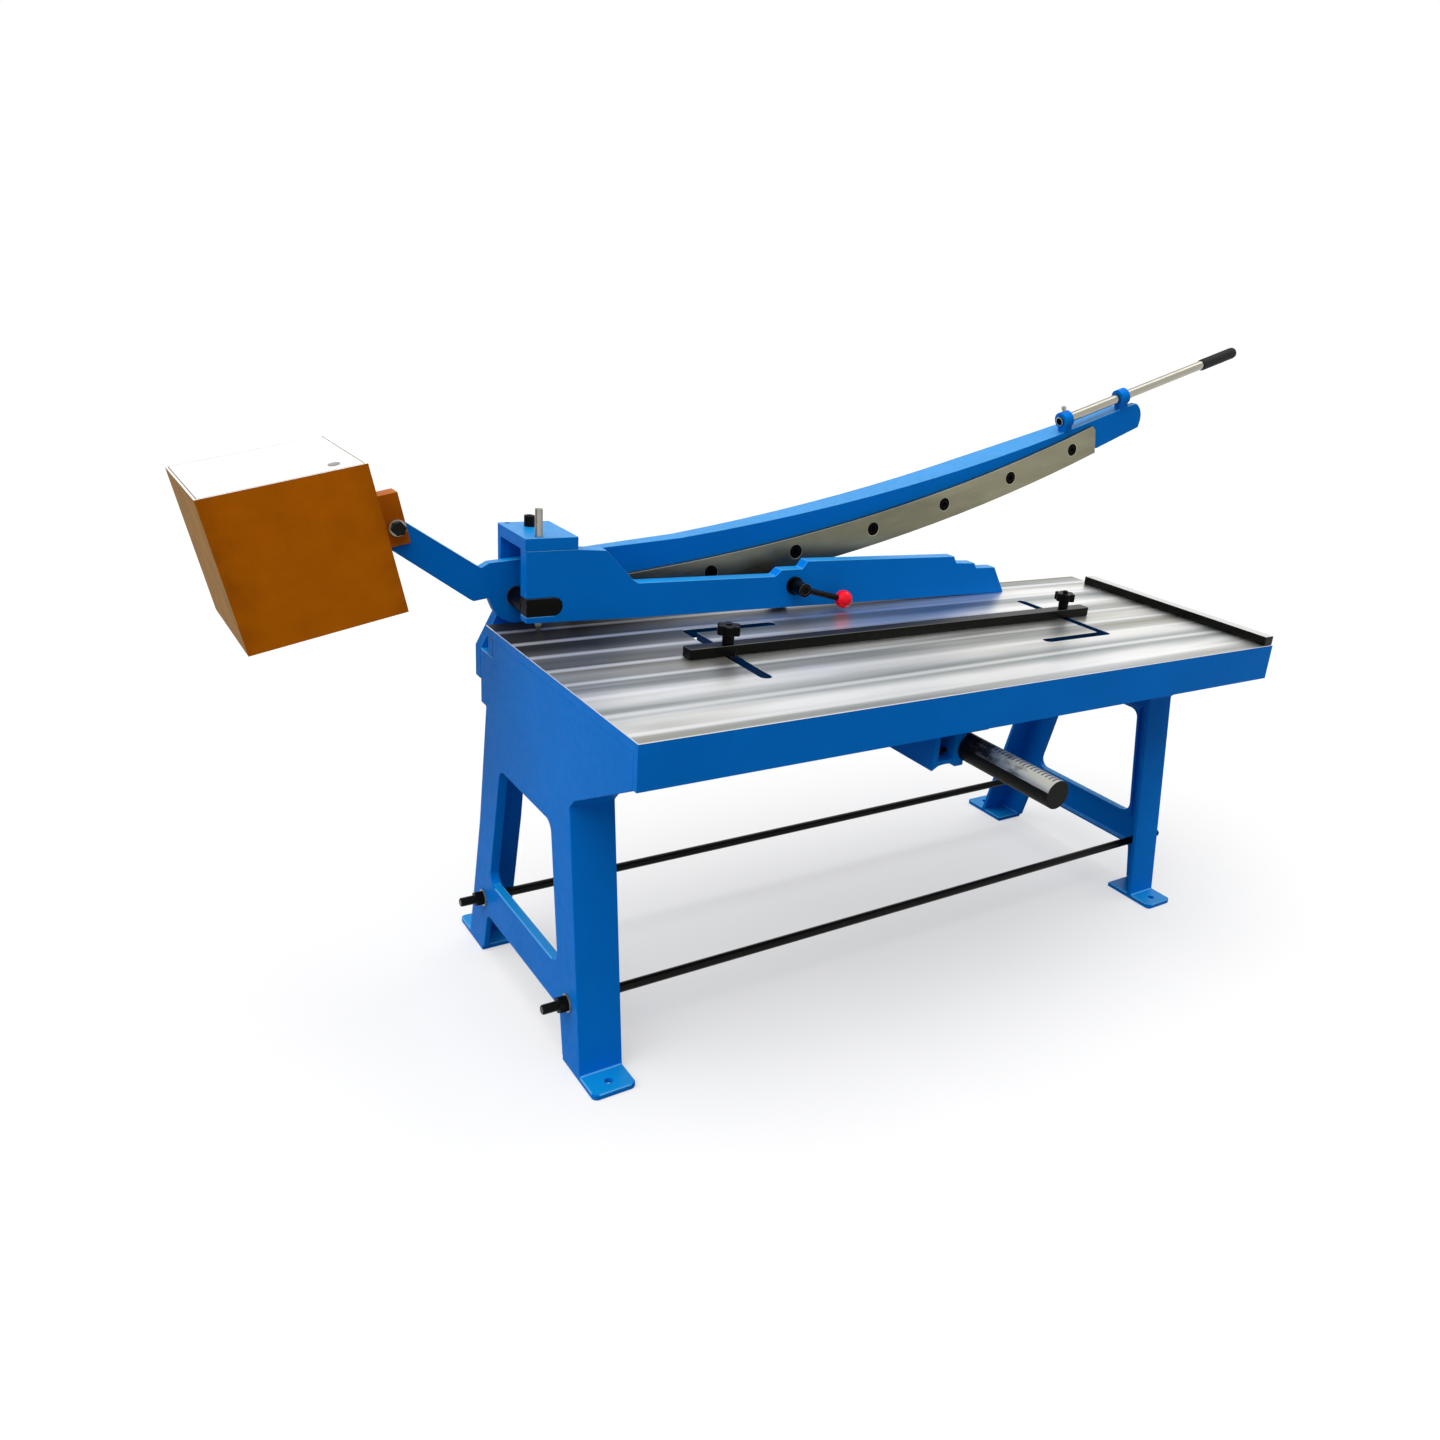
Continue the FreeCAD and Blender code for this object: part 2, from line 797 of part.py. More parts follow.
def flat_screw(name, at, turn, radius, head, sink, length, frame=None):
    """A countersunk screw whose head is flush at the point, with a socket in it."""
    top_cone = cone(name + "_head", at, turn, head, radius, sink, frame)
    shank = cylinder(name + "_shank", at, turn, radius, length, frame)
    socket = hexagon(name + "_socket", at, turn, radius * 1.2, sink * 0.8, frame)
    return cut(name, join(name + "_solid", top_cone, shank), socket)


def frame_fasteners():
    """Bolts and screws that hold the table, the blade and the bar on the frame."""
    bolts = []
    seat_low = top - S.table_plate - S.leg_flange
    grip = S.leg_flange + S.table_plate - 5
    for side, x in enumerate((left + TABLE_BOLT_INSET, right - TABLE_BOLT_INSET)):
        for index, row in enumerate(TABLE_BOLT_ROWS):
            name = "table_bolt_%d_%d" % (side, index)
            bolts.append(hex_bolt(name, (x, front + row, seat_low), "+Z", table_bolt_radius, grip))
    keep(group("table_bolts", bolts), "table_bolts")
    screws = []
    for index, row in enumerate(SQUARING_SCREW_ROWS):
        at = (right - SQUARING_SCREW_INSET, front + row, seat_low)
        length = S.leg_flange + S.table_plate + 12
        screws.append(hex_bolt("squaring_screw_%d" % index, at, "+Z", squaring_screw_radius, length))
    keep(group("squaring_bar_screws", screws), "squaring_bar_screws")
    bolts = []
    for index, (x, z) in enumerate(UPRIGHT_BOLTS):
        at = (left + x, upright_rear, top + z)
        length = S.upright_thickness + 22
        bolts.append(hex_bolt("upright_bolt_%d" % index, at, "-Y", upright_bolt_radius, length))
    keep(group("upright_bolts", bolts), "upright_bolts")
    screws = []
    for index, x in enumerate(lower_screw_stations()):
        at = (left + x, back, top + lower_screw_height)
        length = S.lower_blade_thickness + S.rear_wall - 4
        name = "lower_screw_%d" % index
        screws.append(flat_screw(name, at, "-Y", lower_screw_radius, 10, 5.5, length))
    keep(group("lower_blade_screws", screws), "lower_blade_screws")


def lower_blade():
    start = (left + S.lower_blade_start, back - S.lower_blade_thickness, top - S.lower_blade_height)
    bar = block("lower_blade_bar", start, (right, back, top))
    holes = []
    for index, x in enumerate(lower_screw_stations()):
        at = (left + x, back, top + lower_screw_height)
        radius = lower_screw_radius + S.fit_gap
        sink = cone("lower_sink_%d" % index, at, "-Y", 10 + S.fit_gap, radius, 5.6)
        drill = cylinder("lower_drill_%d" % index, at, "-Y", radius, S.lower_blade_thickness)
        holes.append(join("lower_hole_%d" % index, sink, drill))
    keep(cut("lower_blade", bar, *holes), "lower_blade")


def squaring_bar():
    low = (right - S.squaring_bar_width, front + 3, top)
    high = (right, front + 3 + S.squaring_bar_length, top + S.squaring_bar_height)
    bar = block("squaring_bar_blank", low, high)
    holes = []
    for index, row in enumerate(SQUARING_SCREW_ROWS):
        at = (right - SQUARING_SCREW_INSET, front + row, top)
        radius = squaring_screw_radius + S.fit_gap
        holes.append(cylinder("squaring_hole_%d" % index, at, "+Z", radius, 13))
    keep(cut("squaring_bar", bar, *holes), "squaring_bar")


def tie_rods():
    """Two long rods with a washer and a nut outside each side frame."""
    radius = S.tie_rod_diameter / 2
    washers = []
    nuts = []
    for name, (y, z) in (("front_tie_rod", FRONT_ROD), ("rear_tie_rod", REAR_ROD)):
        at = (left - S.tie_rod_stub, front + y, top + z)
        rod = cylinder(name, at, "+X", radius, S.table_length + S.tie_rod_stub * 2)
        keep(rod, name)
        for turn, x, reach in (("-X", left, -1), ("+X", right, 1)):
            tag = "%s_%s" % (name, "right" if reach > 0 else "left")
            washers.append(washer(tag + "_washer", (x, front + y, top + z), turn, radius, radius * 1.9, 4))
            at = (x + 4 * reach, front + y, top + z)
            nuts.append(hex_nut(tag + "_nut", at, turn, radius, radius * 1.7))
    keep(group("tie_rod_washers", washers), "tie_rod_washers")
    keep(group("tie_rod_nuts", nuts), "tie_rod_nuts")


def rim_point(radius, angle):
    """A point on a circle about the pivot axis, from the table's top left corner."""
    angle = size_of(angle)
    return (S.pivot_inset + cosine(angle) * radius, S.pivot_rise + sine(angle) * radius)


def pivot_upright():
    """The bearing plate behind the arm: wide foot, round head about the shaft."""
    plate = Casting("pivot_upright", (left, upright_front, top))
    radius = S.upright_radius
    start = rim_point(radius, 220)
    end = rim_point(radius, -30)
    rise = radius * (1 - math.cos(math.radians(125)))
    shape = outline(
        (0, UPRIGHT_FOOT[1]),
        (0, UPRIGHT_SHOULDER),
        (start[0], start[1], rise),
        end,
        (UPRIGHT_FOOT[0], UPRIGHT_SHOULDER),
        UPRIGHT_FOOT,
    )
    holes = [circle(x, z, upright_bolt_radius + 0.5) for x, z in UPRIGHT_BOLTS]
    holes.append(circle(S.pivot_inset, S.pivot_rise, journal_radius + S.fit_gap))
    plate.pad("XZ_Plane", [shape] + holes, 0, S.upright_thickness)
    step = S.pivot_rise - radius - 3
    relief = rectangle((-10, step), (UPRIGHT_FOOT[0], S.pivot_rise + radius + 10))
    plate.pocket("XZ_Plane", [relief], S.upright_neck, S.upright_thickness)
    return plate.done("pivot_upright")


# The slot in the front cheek lies a little above the pivot axis.
slot_level = S.pivot_rise + 3

# The shaft's threaded end, and the washer and nut on it.
pivot_thread_radius = journal_radius - 3
PIVOT_THREAD_LENGTH = 34
PIVOT_WASHER = 4
PIVOT_NUT = 20


def pivot_shaft():
    """The shaft: a flat-sided block in the cheek's slot, a collar and a long journal."""
    front_block = Casting("shaft_block", (left, beam_front, top))
    half = S.slot_height / 2 - S.block_gap
    end = S.slot_end - S.block_gap - half
    middle = S.cheek_inset + 0.5
    low = slot_level - half
    high = slot_level + half
    shape = outline((middle, low), (end, low, -half), (end, high), (middle, high))
    front_block.pad("XZ_Plane", [shape], 0, S.beam_thickness + 1)
    radius = S.adjusting_screw_diameter / 2 + S.block_gap
    hole = [circle(S.adjusting_screw_station, S.beam_thickness / 2, radius)]
    front_block.pocket("XY_Plane", hole, low - 1, half * 2 + 2)
    collar_front = beam_rear + 0.5
    journal_front = arm_front - S.rest_gap
    journal_rear = rear_cheek_rear + 1
    at = (pivot_x, collar_front, pivot_z)
    collar = cylinder("shaft_collar", at, "+Y", shaft_radius, journal_front - collar_front)
    at = (pivot_x, journal_front, pivot_z)
    journal = cylinder("shaft_journal", at, "+Y", journal_radius, journal_rear - journal_front)
    at = (pivot_x, rear_cheek_rear, pivot_z)
    thread = cylinder("shaft_thread", at, "+Y", pivot_thread_radius, PIVOT_THREAD_LENGTH)
    keep(join("pivot_shaft", front_block.body, collar, journal, thread), "pivot_shaft")
    at = (pivot_x, journal_rear, pivot_z)
    ring = washer("pivot_washer", at, "+Y", pivot_thread_radius, journal_radius + 11, PIVOT_WASHER)
    keep(ring, "pivot_washer")
    at = (pivot_x, journal_rear + PIVOT_WASHER, pivot_z)
    keep(hex_nut("pivot_nut", at, "+Y", pivot_thread_radius, PIVOT_NUT), "pivot_nut")


# The arm's outline, seen from the front with the arm level: from the pivot axis.
ARM_TOP = [(20.9, 75), (194, 53), (379.5, 26.5)]
ARM_SAG = 25
HANDLE_SEAT = (1534, 15.7)
ARM_NOSE = [(1854, -15.6), (1848.5, -27.3), (1681.6, -52.6)]
NECK = [(-205, 222), (-187, 213), (-58.6, 78), (-41, 83.6)]
BAR_UNDERSIDE = [(-57.5, 13.3), (-87.6, 15.4), (-93, 20), (-222, 165), (-222, 205)]
BOX_BOLT = (-195, 197)
BOX_WASHER = 3

# The row of blade bolts follows a shallow curve with this radius and lowest point.
BLADE_CURVE = 5435
BLADE_LOW_POINT = (835, -82)
BLADE_TOP = 35
BLADE_BOLTS = 7
blade_bolt_radius = S.blade_bolt_diameter / 2
box_bolt_radius = S.box_bolt_diameter / 2


def blade_line(x, offset=0):
    """The height of the blade's curve at a distance from the pivot."""
    run = size_of(x) - BLADE_LOW_POINT[0]
    return run * run / (2 * BLADE_CURVE) + (BLADE_LOW_POINT[1] + size_of(offset))


def blade_sag(start, end):
    """How far the blade's curve hangs below the line between two distances."""
    run = size_of(end) - start
    return run * run / (8 * BLADE_CURVE)


def blade_bolt_stations():
    return [S.blade_bolt_first + S.blade_bolt_pitch * index for index in range(BLADE_BOLTS)]


def arm_line(x):
    """The height of the arm's straight top where the handle sits."""
    slope = sine(S.handle_slope) / cosine(S.handle_slope)
    return (size_of(x) - HANDLE_SEAT[0]) * slope + HANDLE_SEAT[1]


def blade_arm():
    """The arm: a curved web, a bowed flange on its top edge and a bent tail bar."""
    web = Casting("arm_web", (0, 0, 0))
    boss = S.arm_boss_radius
    straight = S.arm_straight_end
    tip = straight + 38
    web_low = -22
    start = S.blade_start
    end = S.blade_end
    boss_side = (-boss * math.cos(math.radians(6.3)), -boss * math.sin(math.radians(6.3)))
    boss_rise = boss * (1 - math.cos(math.radians(41.85)))
    shape = outline(
        *ARM_TOP[:2],
        (ARM_TOP[2][0], ARM_TOP[2][1], -ARM_SAG),
        HANDLE_SEAT,
        (straight, arm_line(straight)),
        (tip, arm_line(straight) + 2, 12),
        ARM_NOSE[0],
        ARM_NOSE[1],
        (end + 18, ARM_NOSE[2][1]),
        (end, blade_line(end, web_low), blade_sag(start, end)),
        (start, blade_line(start, web_low)),
        (0, -boss, boss_rise),
        boss_side,
        *BAR_UNDERSIDE,
        *NECK,
    )
    holes = [circle(x, blade_line(x), blade_bolt_radius + S.fit_gap) for x in blade_bolt_stations()]
    holes.append(circle(0, 0, journal_radius + S.bushing_wall + S.fit_gap))
    holes.append(circle(BOX_BOLT[0], BOX_BOLT[1], box_bolt_radius + S.fit_gap))
    web.pad("XZ_Plane", [shape] + holes, 0, S.arm_thickness)
    strip = Casting("arm_strip", (0, 0, 0))
    under = -S.arm_flange
    band = outline(
        *ARM_TOP[:2],
        (ARM_TOP[2][0], ARM_TOP[2][1], -ARM_SAG),
        HANDLE_SEAT,
        (straight, arm_line(straight)),
        (straight, arm_line(straight) + under),
        (HANDLE_SEAT[0], HANDLE_SEAT[1] + under, ARM_SAG),
        (ARM_TOP[2][0], ARM_TOP[2][1] + under),
        (ARM_TOP[1][0], ARM_TOP[1][1] + under),
        (ARM_TOP[0][0], ARM_TOP[0][1] + under),
        (NECK[3][0], NECK[3][1] + under),
        (NECK[2][0], NECK[2][1] + under),
        NECK[2],
        NECK[3],
    )
    strip.pad("XZ_Plane", [band], 0, S.flange_bow + 5)
    plan = Casting("arm_plan", (0, 0, 0))
    thickness = S.arm_thickness
    widest = 1250
    bow = outline(
        (NECK[2][0], 0),
        (straight, 0),
        (straight, thickness * 2.2, -12),
        (widest, S.flange_bow, -6),
        (start, thickness),
        (NECK[2][0], thickness),
    )
    plan_low = -60
    plan_height = 200
    plan.pad("XY_Plane", [bow], plan_low, plan_height)
    flange = overlap("arm_flange", strip.body, plan.body)
    arm = join("blade_arm", web.body, flange)
    arm.Refine = True
    arm.setExpression("Placement", ARM)
    keep(arm, "blade_arm")
    centre = (0, 0, 0)
    outer_radius = journal_radius + S.bushing_wall
    outer = cylinder("bushing_outer", centre, "+Y", outer_radius, S.arm_thickness, ARM)
    bore_radius = journal_radius + S.running_gap
    bore = cylinder("bushing_bore", centre, "+Y", bore_radius, S.arm_thickness, ARM)
    keep(cut("pivot_bushing", outer, bore), "pivot_bushing")


def upper_blade():
    """The curved blade on the arm's front, with its countersunk bolts and their nuts."""
    front_face = -S.blade_thickness
    start = S.blade_start
    end = S.blade_end
    low = BLADE_TOP - S.blade_width
    sag = blade_sag(start, end)
    blank = Casting("blade_blank", (0, 0, 0))
    shape = outline(
        (start, blade_line(start, low), -sag),
        (end, blade_line(end, low)),
        (end, blade_line(end, BLADE_TOP - 12)),
        (end - 10, blade_line(end, BLADE_TOP), sag),
        (start, blade_line(start, BLADE_TOP)),
    )
    blank.pad("XZ_Plane", [shape], front_face, S.blade_thickness)
    tools = []
    bolts = []
    nuts = []
    head = S.blade_bolt_head / 2
    sink = head - blade_bolt_radius
    nut_height = blade_bolt_radius * 1.6
    for index, x in enumerate(blade_bolt_stations()):
        at = (x, front_face, blade_line(x))
        radius = blade_bolt_radius + S.fit_gap
        tools.append(cone("blade_sink_%d" % index, at, "+Y", head + S.fit_gap, radius, sink + 0.1))
        tools.append(cylinder("blade_drill_%d" % index, at, "+Y", radius, S.blade_thickness))
        length = S.blade_thickness + S.arm_thickness + nut_height + 4
        name = "blade_bolt_%d" % index
        bolts.append(flat_screw(name, at, "+Y", blade_bolt_radius, head, sink, length, ARM))
        at = (x, S.arm_thickness, blade_line(x))
        nuts.append(hex_nut("blade_nut_%d" % index, at, "+Y", blade_bolt_radius, nut_height, ARM))
    blade = cut("upper_blade", blank.body, *tools)
    blade.setExpression("Placement", ARM)
    keep(blade, "upper_blade")
    keep(group("blade_bolts", bolts), "blade_bolts")
    keep(group("blade_nuts", nuts), "blade_nuts")


# The handle's own frame: along the arm's straight top, above its middle.
handle_origin = (HANDLE_SEAT[0], S.arm_thickness / 2, HANDLE_SEAT[1])
handle_turn = "rotation(vector(0; 1; 0); -Sizes.handle_slope)"
HANDLE = "%s * %s" % (ARM, placement_text(handle_origin, handle_turn))


def handle():
    """A tube that slides in two rings on the arm, its grip and its set screw."""
    radius = S.handle_diameter / 2
    bore = radius + S.running_gap
    outer = S.ring_diameter / 2
    height = S.handle_stand_off
    rings = []
    for index in range(2):
        name = "handle_ring_%d" % index
        low = S.ring_station - S.ring_width / 2 + S.ring_spacing * index
        ring = cylinder(name + "_eye", (low, 0, height), "+X", outer, S.ring_width, HANDLE)
        half = outer * 0.55
        corner = (low + S.ring_width, half, height - radius - 2)
        foot = block(name + "_foot", (low, -half, 0), corner, HANDLE)
        hole = cylinder(name + "_bore", (low, 0, height), "+X", bore, S.ring_width, HANDLE)
        tools = [hole]
        if index == 0:
            at = (S.ring_station, 0, height)
            tap = S.set_screw_diameter / 2 + S.fit_gap
            tools.append(cylinder(name + "_tap", at, "+Z", tap, outer + 1, HANDLE))
        rings.append(cut(name, join(name + "_solid", ring, foot), *tools))
    keep(group("handle_rings", rings), "handle_rings")
    start = S.ring_station - S.ring_width / 2 - 6
    at = (start, 0, height)
    tube = cylinder("handle_tube_outer", at, "+X", radius, S.handle_length, HANDLE)
    inner = cylinder("handle_tube_inner", at, "+X", radius - S.handle_wall, S.handle_length, HANDLE)
    keep(cut("handle_tube", tube, inner), "handle_tube")
    grip_radius = S.grip_diameter / 2
    covered = S.grip_length * 0.43
    at = (start + S.handle_length - covered, 0, height)
    tip_length = grip_radius * 0.5
    straight = S.grip_length - tip_length
    body = cylinder("grip_body", at, "+X", grip_radius, straight, HANDLE)
    tip_at = (at[0] + straight, 0, height)
    tip = cone("grip_tip", tip_at, "+X", grip_radius, grip_radius * 0.6, tip_length, HANDLE)
    hole = cylinder("grip_bore", at, "+X", radius + S.fit_gap, covered + 0.5, HANDLE)
    keep(cut("handle_grip", join("grip_solid", body, tip), hole), "handle_grip")
    screw = S.set_screw_diameter / 2
    at = (S.ring_station, 0, height + radius + S.rest_gap)
    length = outer - radius + 5
    shank = cylinder("set_screw_shank", at, "+Z", screw, length, HANDLE)
    at = (S.ring_station, 0, height + radius + S.rest_gap + length)
    head = cylinder("set_screw_head", at, "+Z", screw * 1.6, 8, HANDLE)
    keep(join("handle_set_screw", shank, head), "handle_set_screw")


def counterweight():
    """A sheet-steel box full of ballast, hung on the tail bar between two ears."""
    middle = S.arm_thickness / 2
    wall = S.box_wall
    near = middle - S.box_depth / 2
    far = middle + S.box_depth / 2
    face = -S.box_reach
    end = face - S.box_width
    base = S.box_base
    lid_top = base + S.box_height
    shell = block("box_outer", (end, near, base), (face, far, lid_top), ARM)
    low = (end + wall, near + wall, base + wall)
    cavity = block("box_cavity", low, (face - wall, far - wall, lid_top), ARM)
    keep(cut("counterweight_box", shell, cavity), "counterweight_box")
    gap = S.rest_gap
    lid_low = (end + wall + gap, near + wall + gap, lid_top - wall)
    plate = block("box_lid_plate", lid_low, (face - wall - gap, far - wall - gap, lid_top), ARM)
    plug = (face - 46, near + 42, lid_top - wall)
    hole = cylinder("box_lid_hole", plug, "+Z", S.plug_diameter / 2 + S.fit_gap, wall, ARM)
    keep(cut("box_lid", plate, hole), "box_lid")
    shank = cylinder("plug_shank", plug, "+Z", S.plug_diameter / 2, wall, ARM)
    rim = cylinder("plug_rim", (plug[0], plug[1], lid_top), "+Z", S.plug_diameter / 2 + 2, 2, ARM)
    keep(join("box_plug", shank, rim), "box_plug")
    low = (end + wall + gap, near + wall + gap, base + wall)
    high = (face - wall - gap, far - wall - gap, base + wall + S.ballast_height)
    keep(block("counterweight_ballast", low, high, ARM), "counterweight_ballast")
    ear = S.ear_thickness
    side_gap = S.rest_gap
    inner_near = -side_gap
    outer_near = inner_near - ear
    inner_far = S.arm_thickness + side_gap
    outer_far = inner_far + ear
    bottom = 163
    crown = 262
    reach = BOX_BOLT[0] + 17
    plates = [
        block("ear_back", (face, outer_near, bottom), (face + ear, outer_far, crown)),
        block("ear_near", (face, outer_near, bottom), (reach, inner_near, crown)),
        block("ear_far", (face, inner_far, bottom), (reach, outer_far, crown)),
        block("ear_roof", (face, outer_near, crown - ear), (reach, outer_far, crown)),
    ]
    at = (BOX_BOLT[0], outer_near - 5, BOX_BOLT[1])
    hole = cylinder("ear_hole", at, "+Y", box_bolt_radius + S.fit_gap, outer_far - outer_near + 10)
    bracket = cut("counterweight_bracket", join("ear_solid", *plates), hole)
    bracket.setExpression("Placement", ARM)
    keep(bracket, "counterweight_bracket")
    outer = box_bolt_radius * 2
    thin = BOX_WASHER
    washers = []
    for name, y, turn in (("near", outer_near, "-Y"), ("far", outer_far, "+Y")):
        at = (BOX_BOLT[0], y, BOX_BOLT[1])
        washers.append(washer("box_washer_" + name, at, turn, box_bolt_radius, outer, thin, ARM))
    keep(group("counterweight_washers", washers), "counterweight_washers")
    nut_height = box_bolt_radius * 1.6
    at = (BOX_BOLT[0], outer_near - thin, BOX_BOLT[1])
    length = outer_far - outer_near + thin * 2 + nut_height + 4
    bolt = hex_bolt("counterweight_bolt", at, "+Y", box_bolt_radius, length, ARM)
    keep(bolt, "counterweight_bolt")
    at = (BOX_BOLT[0], outer_far + thin, BOX_BOLT[1])
    nut = hex_nut("counterweight_nut", at, "+Y", box_bolt_radius, nut_height, ARM)
    keep(nut, "counterweight_nut")


# The hold-down's front outline, from the table's top left corner.
CHEEK_BOTTOM = 22
BEAM_KINK = (297, 15)
CHEEK_SLOPE = [(217, -4.6), (276, -66.6), (289, -76.6)]
BEAM_TOP = [(628, 84), (644, 98), (701, 97.5), (713, 115), (1159, 104.5), (1168, 87), (1231, 84), (1238, 71)]
BEAM_NOSE = (1304, 69)
CAP_INSET = 48.6

# The screws through the cap: their places, and the pin's length and conical tip.
STOP_STATION = 98
ADJUSTING_SCREW_LENGTH = 246
ADJUSTING_TIP_LENGTH = 14
ADJUSTING_TIP_RADIUS = 2


def hold_down():
    """The beam with its slotted cheek, the cap over the pivot, and their screws."""
    beam = Casting("hold_down_beam", (left, beam_front, top))
    half = S.slot_height / 2
    start = S.cheek_inset
    crown = S.cheek_height
    slot_centre = S.slot_end - half
    shape = outline(
        (start, CHEEK_BOTTOM),
        (start, slot_level - half),
        (slot_centre, slot_level - half, -half),
        (slot_centre, slot_level + half),
        (start, slot_level + half),
        (start, crown),
        (CAP_INSET + S.cap_width, crown),
        *[(x, crown + z) for x, z in CHEEK_SLOPE],
        *BEAM_TOP,
        BEAM_NOSE,
        (S.beam_end, 1),
        (S.beam_end - 3, S.rest_gap),
        (S.beam_end - 40, S.rest_gap),
        BEAM_KINK,
    )
    cam_hole = circle(S.cam_station, S.cam_height, S.cam_shaft_diameter / 2 + S.running_gap)
    beam.pad("XZ_Plane", [shape, cam_hole], 0, S.beam_thickness)
    screw = S.adjusting_screw_diameter / 2
    drill = [circle(S.adjusting_screw_station, S.beam_thickness / 2, screw + S.running_gap)]
    beam.pocket("XY_Plane", drill, CHEEK_BOTTOM - 5, crown)
    beam.done("hold_down_beam")
    cap = Casting("cap_bracket", (left, beam_front, top + S.cheek_height))
    depth = rear_cheek_rear - beam_front
    plate = rectangle((CAP_INSET, 0), (CAP_INSET + S.cap_width, depth))
    drill = circle(S.adjusting_screw_station, S.beam_thickness / 2, screw + S.running_gap)
    stop = S.stop_screw_diameter / 2
    stop_y = depth - 43
    stop_hole = circle(STOP_STATION, stop_y, stop + S.fit_gap)
    cap.pad("XY_Plane", [plate, drill, stop_hole], 0, S.cap_thickness)
    hub = S.pivot_rise - S.cheek_height
    radius = S.upright_radius
    cheek = outline(
        (CAP_INSET, 0),
        (CAP_INSET, hub + 45),
        (S.pivot_inset - radius, hub, -radius),
        (S.pivot_inset + radius, hub),
        (CAP_INSET + S.cap_width, hub + 70),
        (CAP_INSET + S.cap_width, 0),
    )
    bore = circle(S.pivot_inset, hub, journal_radius + S.running_gap)
    cap.pad("XZ_Plane", [cheek, bore], depth - S.rear_cheek, S.rear_cheek)
    cap.pocket("XY_Plane", [circle(66, depth - 8, 5)], S.cap_thickness, 12, False)
    cap.done("cap_bracket")
    head_z = top + S.cheek_height + S.cap_thickness
    at = (left + STOP_STATION, beam_front + stop_y, head_z)
    shank = cylinder("stop_shank", at, "-Z", stop, S.cap_thickness + 8)
    cap_head = cylinder("stop_head", at, "+Z", stop * 1.75, 22)
    socket = hexagon("stop_socket", (at[0], at[1], head_z + 14), "+Z", stop * 1.6, 9)
    keep(cut("cap_stop_screw", join("stop_solid", shank, cap_head), socket), "cap_stop_screw")
    x = left + S.adjusting_screw_station
    y = beam_front + S.beam_thickness / 2
    tip = top + S.rest_gap
    shoulder = tip + ADJUSTING_TIP_LENGTH
    point = cone("adjusting_tip", (x, y, tip), "+Z", ADJUSTING_TIP_RADIUS, screw, ADJUSTING_TIP_LENGTH)
    length = ADJUSTING_SCREW_LENGTH - ADJUSTING_TIP_LENGTH
    rod = cylinder("adjusting_rod", (x, y, shoulder), "+Z", screw, length)
    keep(join("adjusting_screw", point, rod), "adjusting_screw")


def cam_lever():
    """The eccentric behind the beam, its shaft, and the ball lever in front."""
    x = left + S.cam_station
    z = top + S.cam_height
    radius = S.cam_shaft_diameter / 2
    hub_front = beam_front - 47
    hub_radius = radius + 6
    hub_length = 40
    lever_y = hub_front + 12
    behind = beam_rear + 4
    reach = S.cam_height - 0.9
    rear_end = behind + S.cam_thickness + 6
    shaft = cylinder("cam_shaft_rod", (x, hub_front + 1, z), "+Y", radius, rear_end - hub_front - 1)
    plate = Casting("cam_plate", (x, behind, z))
    swept = reach + S.cam_lift / 2
    lobe = outline(
        (6, -reach + 0.5),
        (0, -reach, swept * 0.2929),
        (-reach - S.cam_lift, 0),
        (-24, 17),
        (24, -17),
    )
    plate.pad("XZ_Plane", [lobe], 0, S.cam_thickness)
    disc = cylinder("cam_disc", (x, behind, z), "+Y", 30, S.cam_thickness)
    keep(join("cam_shaft", shaft, plate.body, disc), "cam_shaft")
    at = (x, beam_front - S.rest_gap, z)
    keep(washer("cam_washer", at, "-Y", radius, 21, 6), "cam_washer")
    hub = cylinder("cam_hub_outer", (x, hub_front, z), "+Y", hub_radius, hub_length)
    turn = lean(-S.lever_droop)
    rod_radius = S.lever_diameter / 2
    tools = [
        cylinder("cam_hub_bore", (x, hub_front, z), "+Y", radius + S.fit_gap, hub_length),
        cylinder("cam_hub_tap", (x, lever_y, z), turn, rod_radius + S.fit_gap, hub_radius + 5),
    ]
    keep(cut("cam_hub", hub, *tools), "cam_hub")
    lean_x = cosine(S.lever_droop)
    lean_z = -sine(S.lever_droop)
    at = (x + lean_x * (radius + 1), lever_y, z + lean_z * (radius + 1))
    ball_radius = S.ball_diameter / 2
    length = S.lever_length - radius - 1 - ball_radius * 0.4
    keep(cylinder("cam_lever_rod", at, turn, rod_radius, length), "cam_lever_rod")
    centre = (x + lean_x * S.lever_length, lever_y, z + lean_z * S.lever_length)
    knob = ball("ball_solid", centre, ball_radius)
    hole = cylinder("ball_bore", at, turn, rod_radius + S.fit_gap, length + 0.2)
    keep(cut("ball_knob", knob, hole), "ball_knob")


def star_knob(name, x, y, z, nub):
    """A lobed clamping knob on a round hub, with the stud's hole up its middle."""
    radius = S.stud_diameter / 2
    hub = cylinder(name + "_hub", (x, y, z), "+Z", radius * 2, S.knob_height * 0.55)
    head_z = z + S.knob_height * 0.5
    outer = S.knob_diameter / 2
    core = cylinder(name + "_core", (x, y, head_z), "+Z", outer * 0.76, S.knob_height * 0.5)
    lobes = []
    for index in range(6):
        angle = size_of(60 * index)
        at = (x + cosine(angle) * outer * 0.7, y + sine(angle) * outer * 0.7, head_z)
        lobes.append(cylinder("%s_lobe_%d" % (name, index), at, "+Z", outer * 0.3, S.knob_height * 0.5))
    bore = cylinder(name + "_bore", (x, y, z), "+Z", radius + S.fit_gap, S.knob_height + nub)
    keep(cut(name, join(name + "_solid", hub, core, *lobes), bore), name)


TEE_THICKNESS = 8


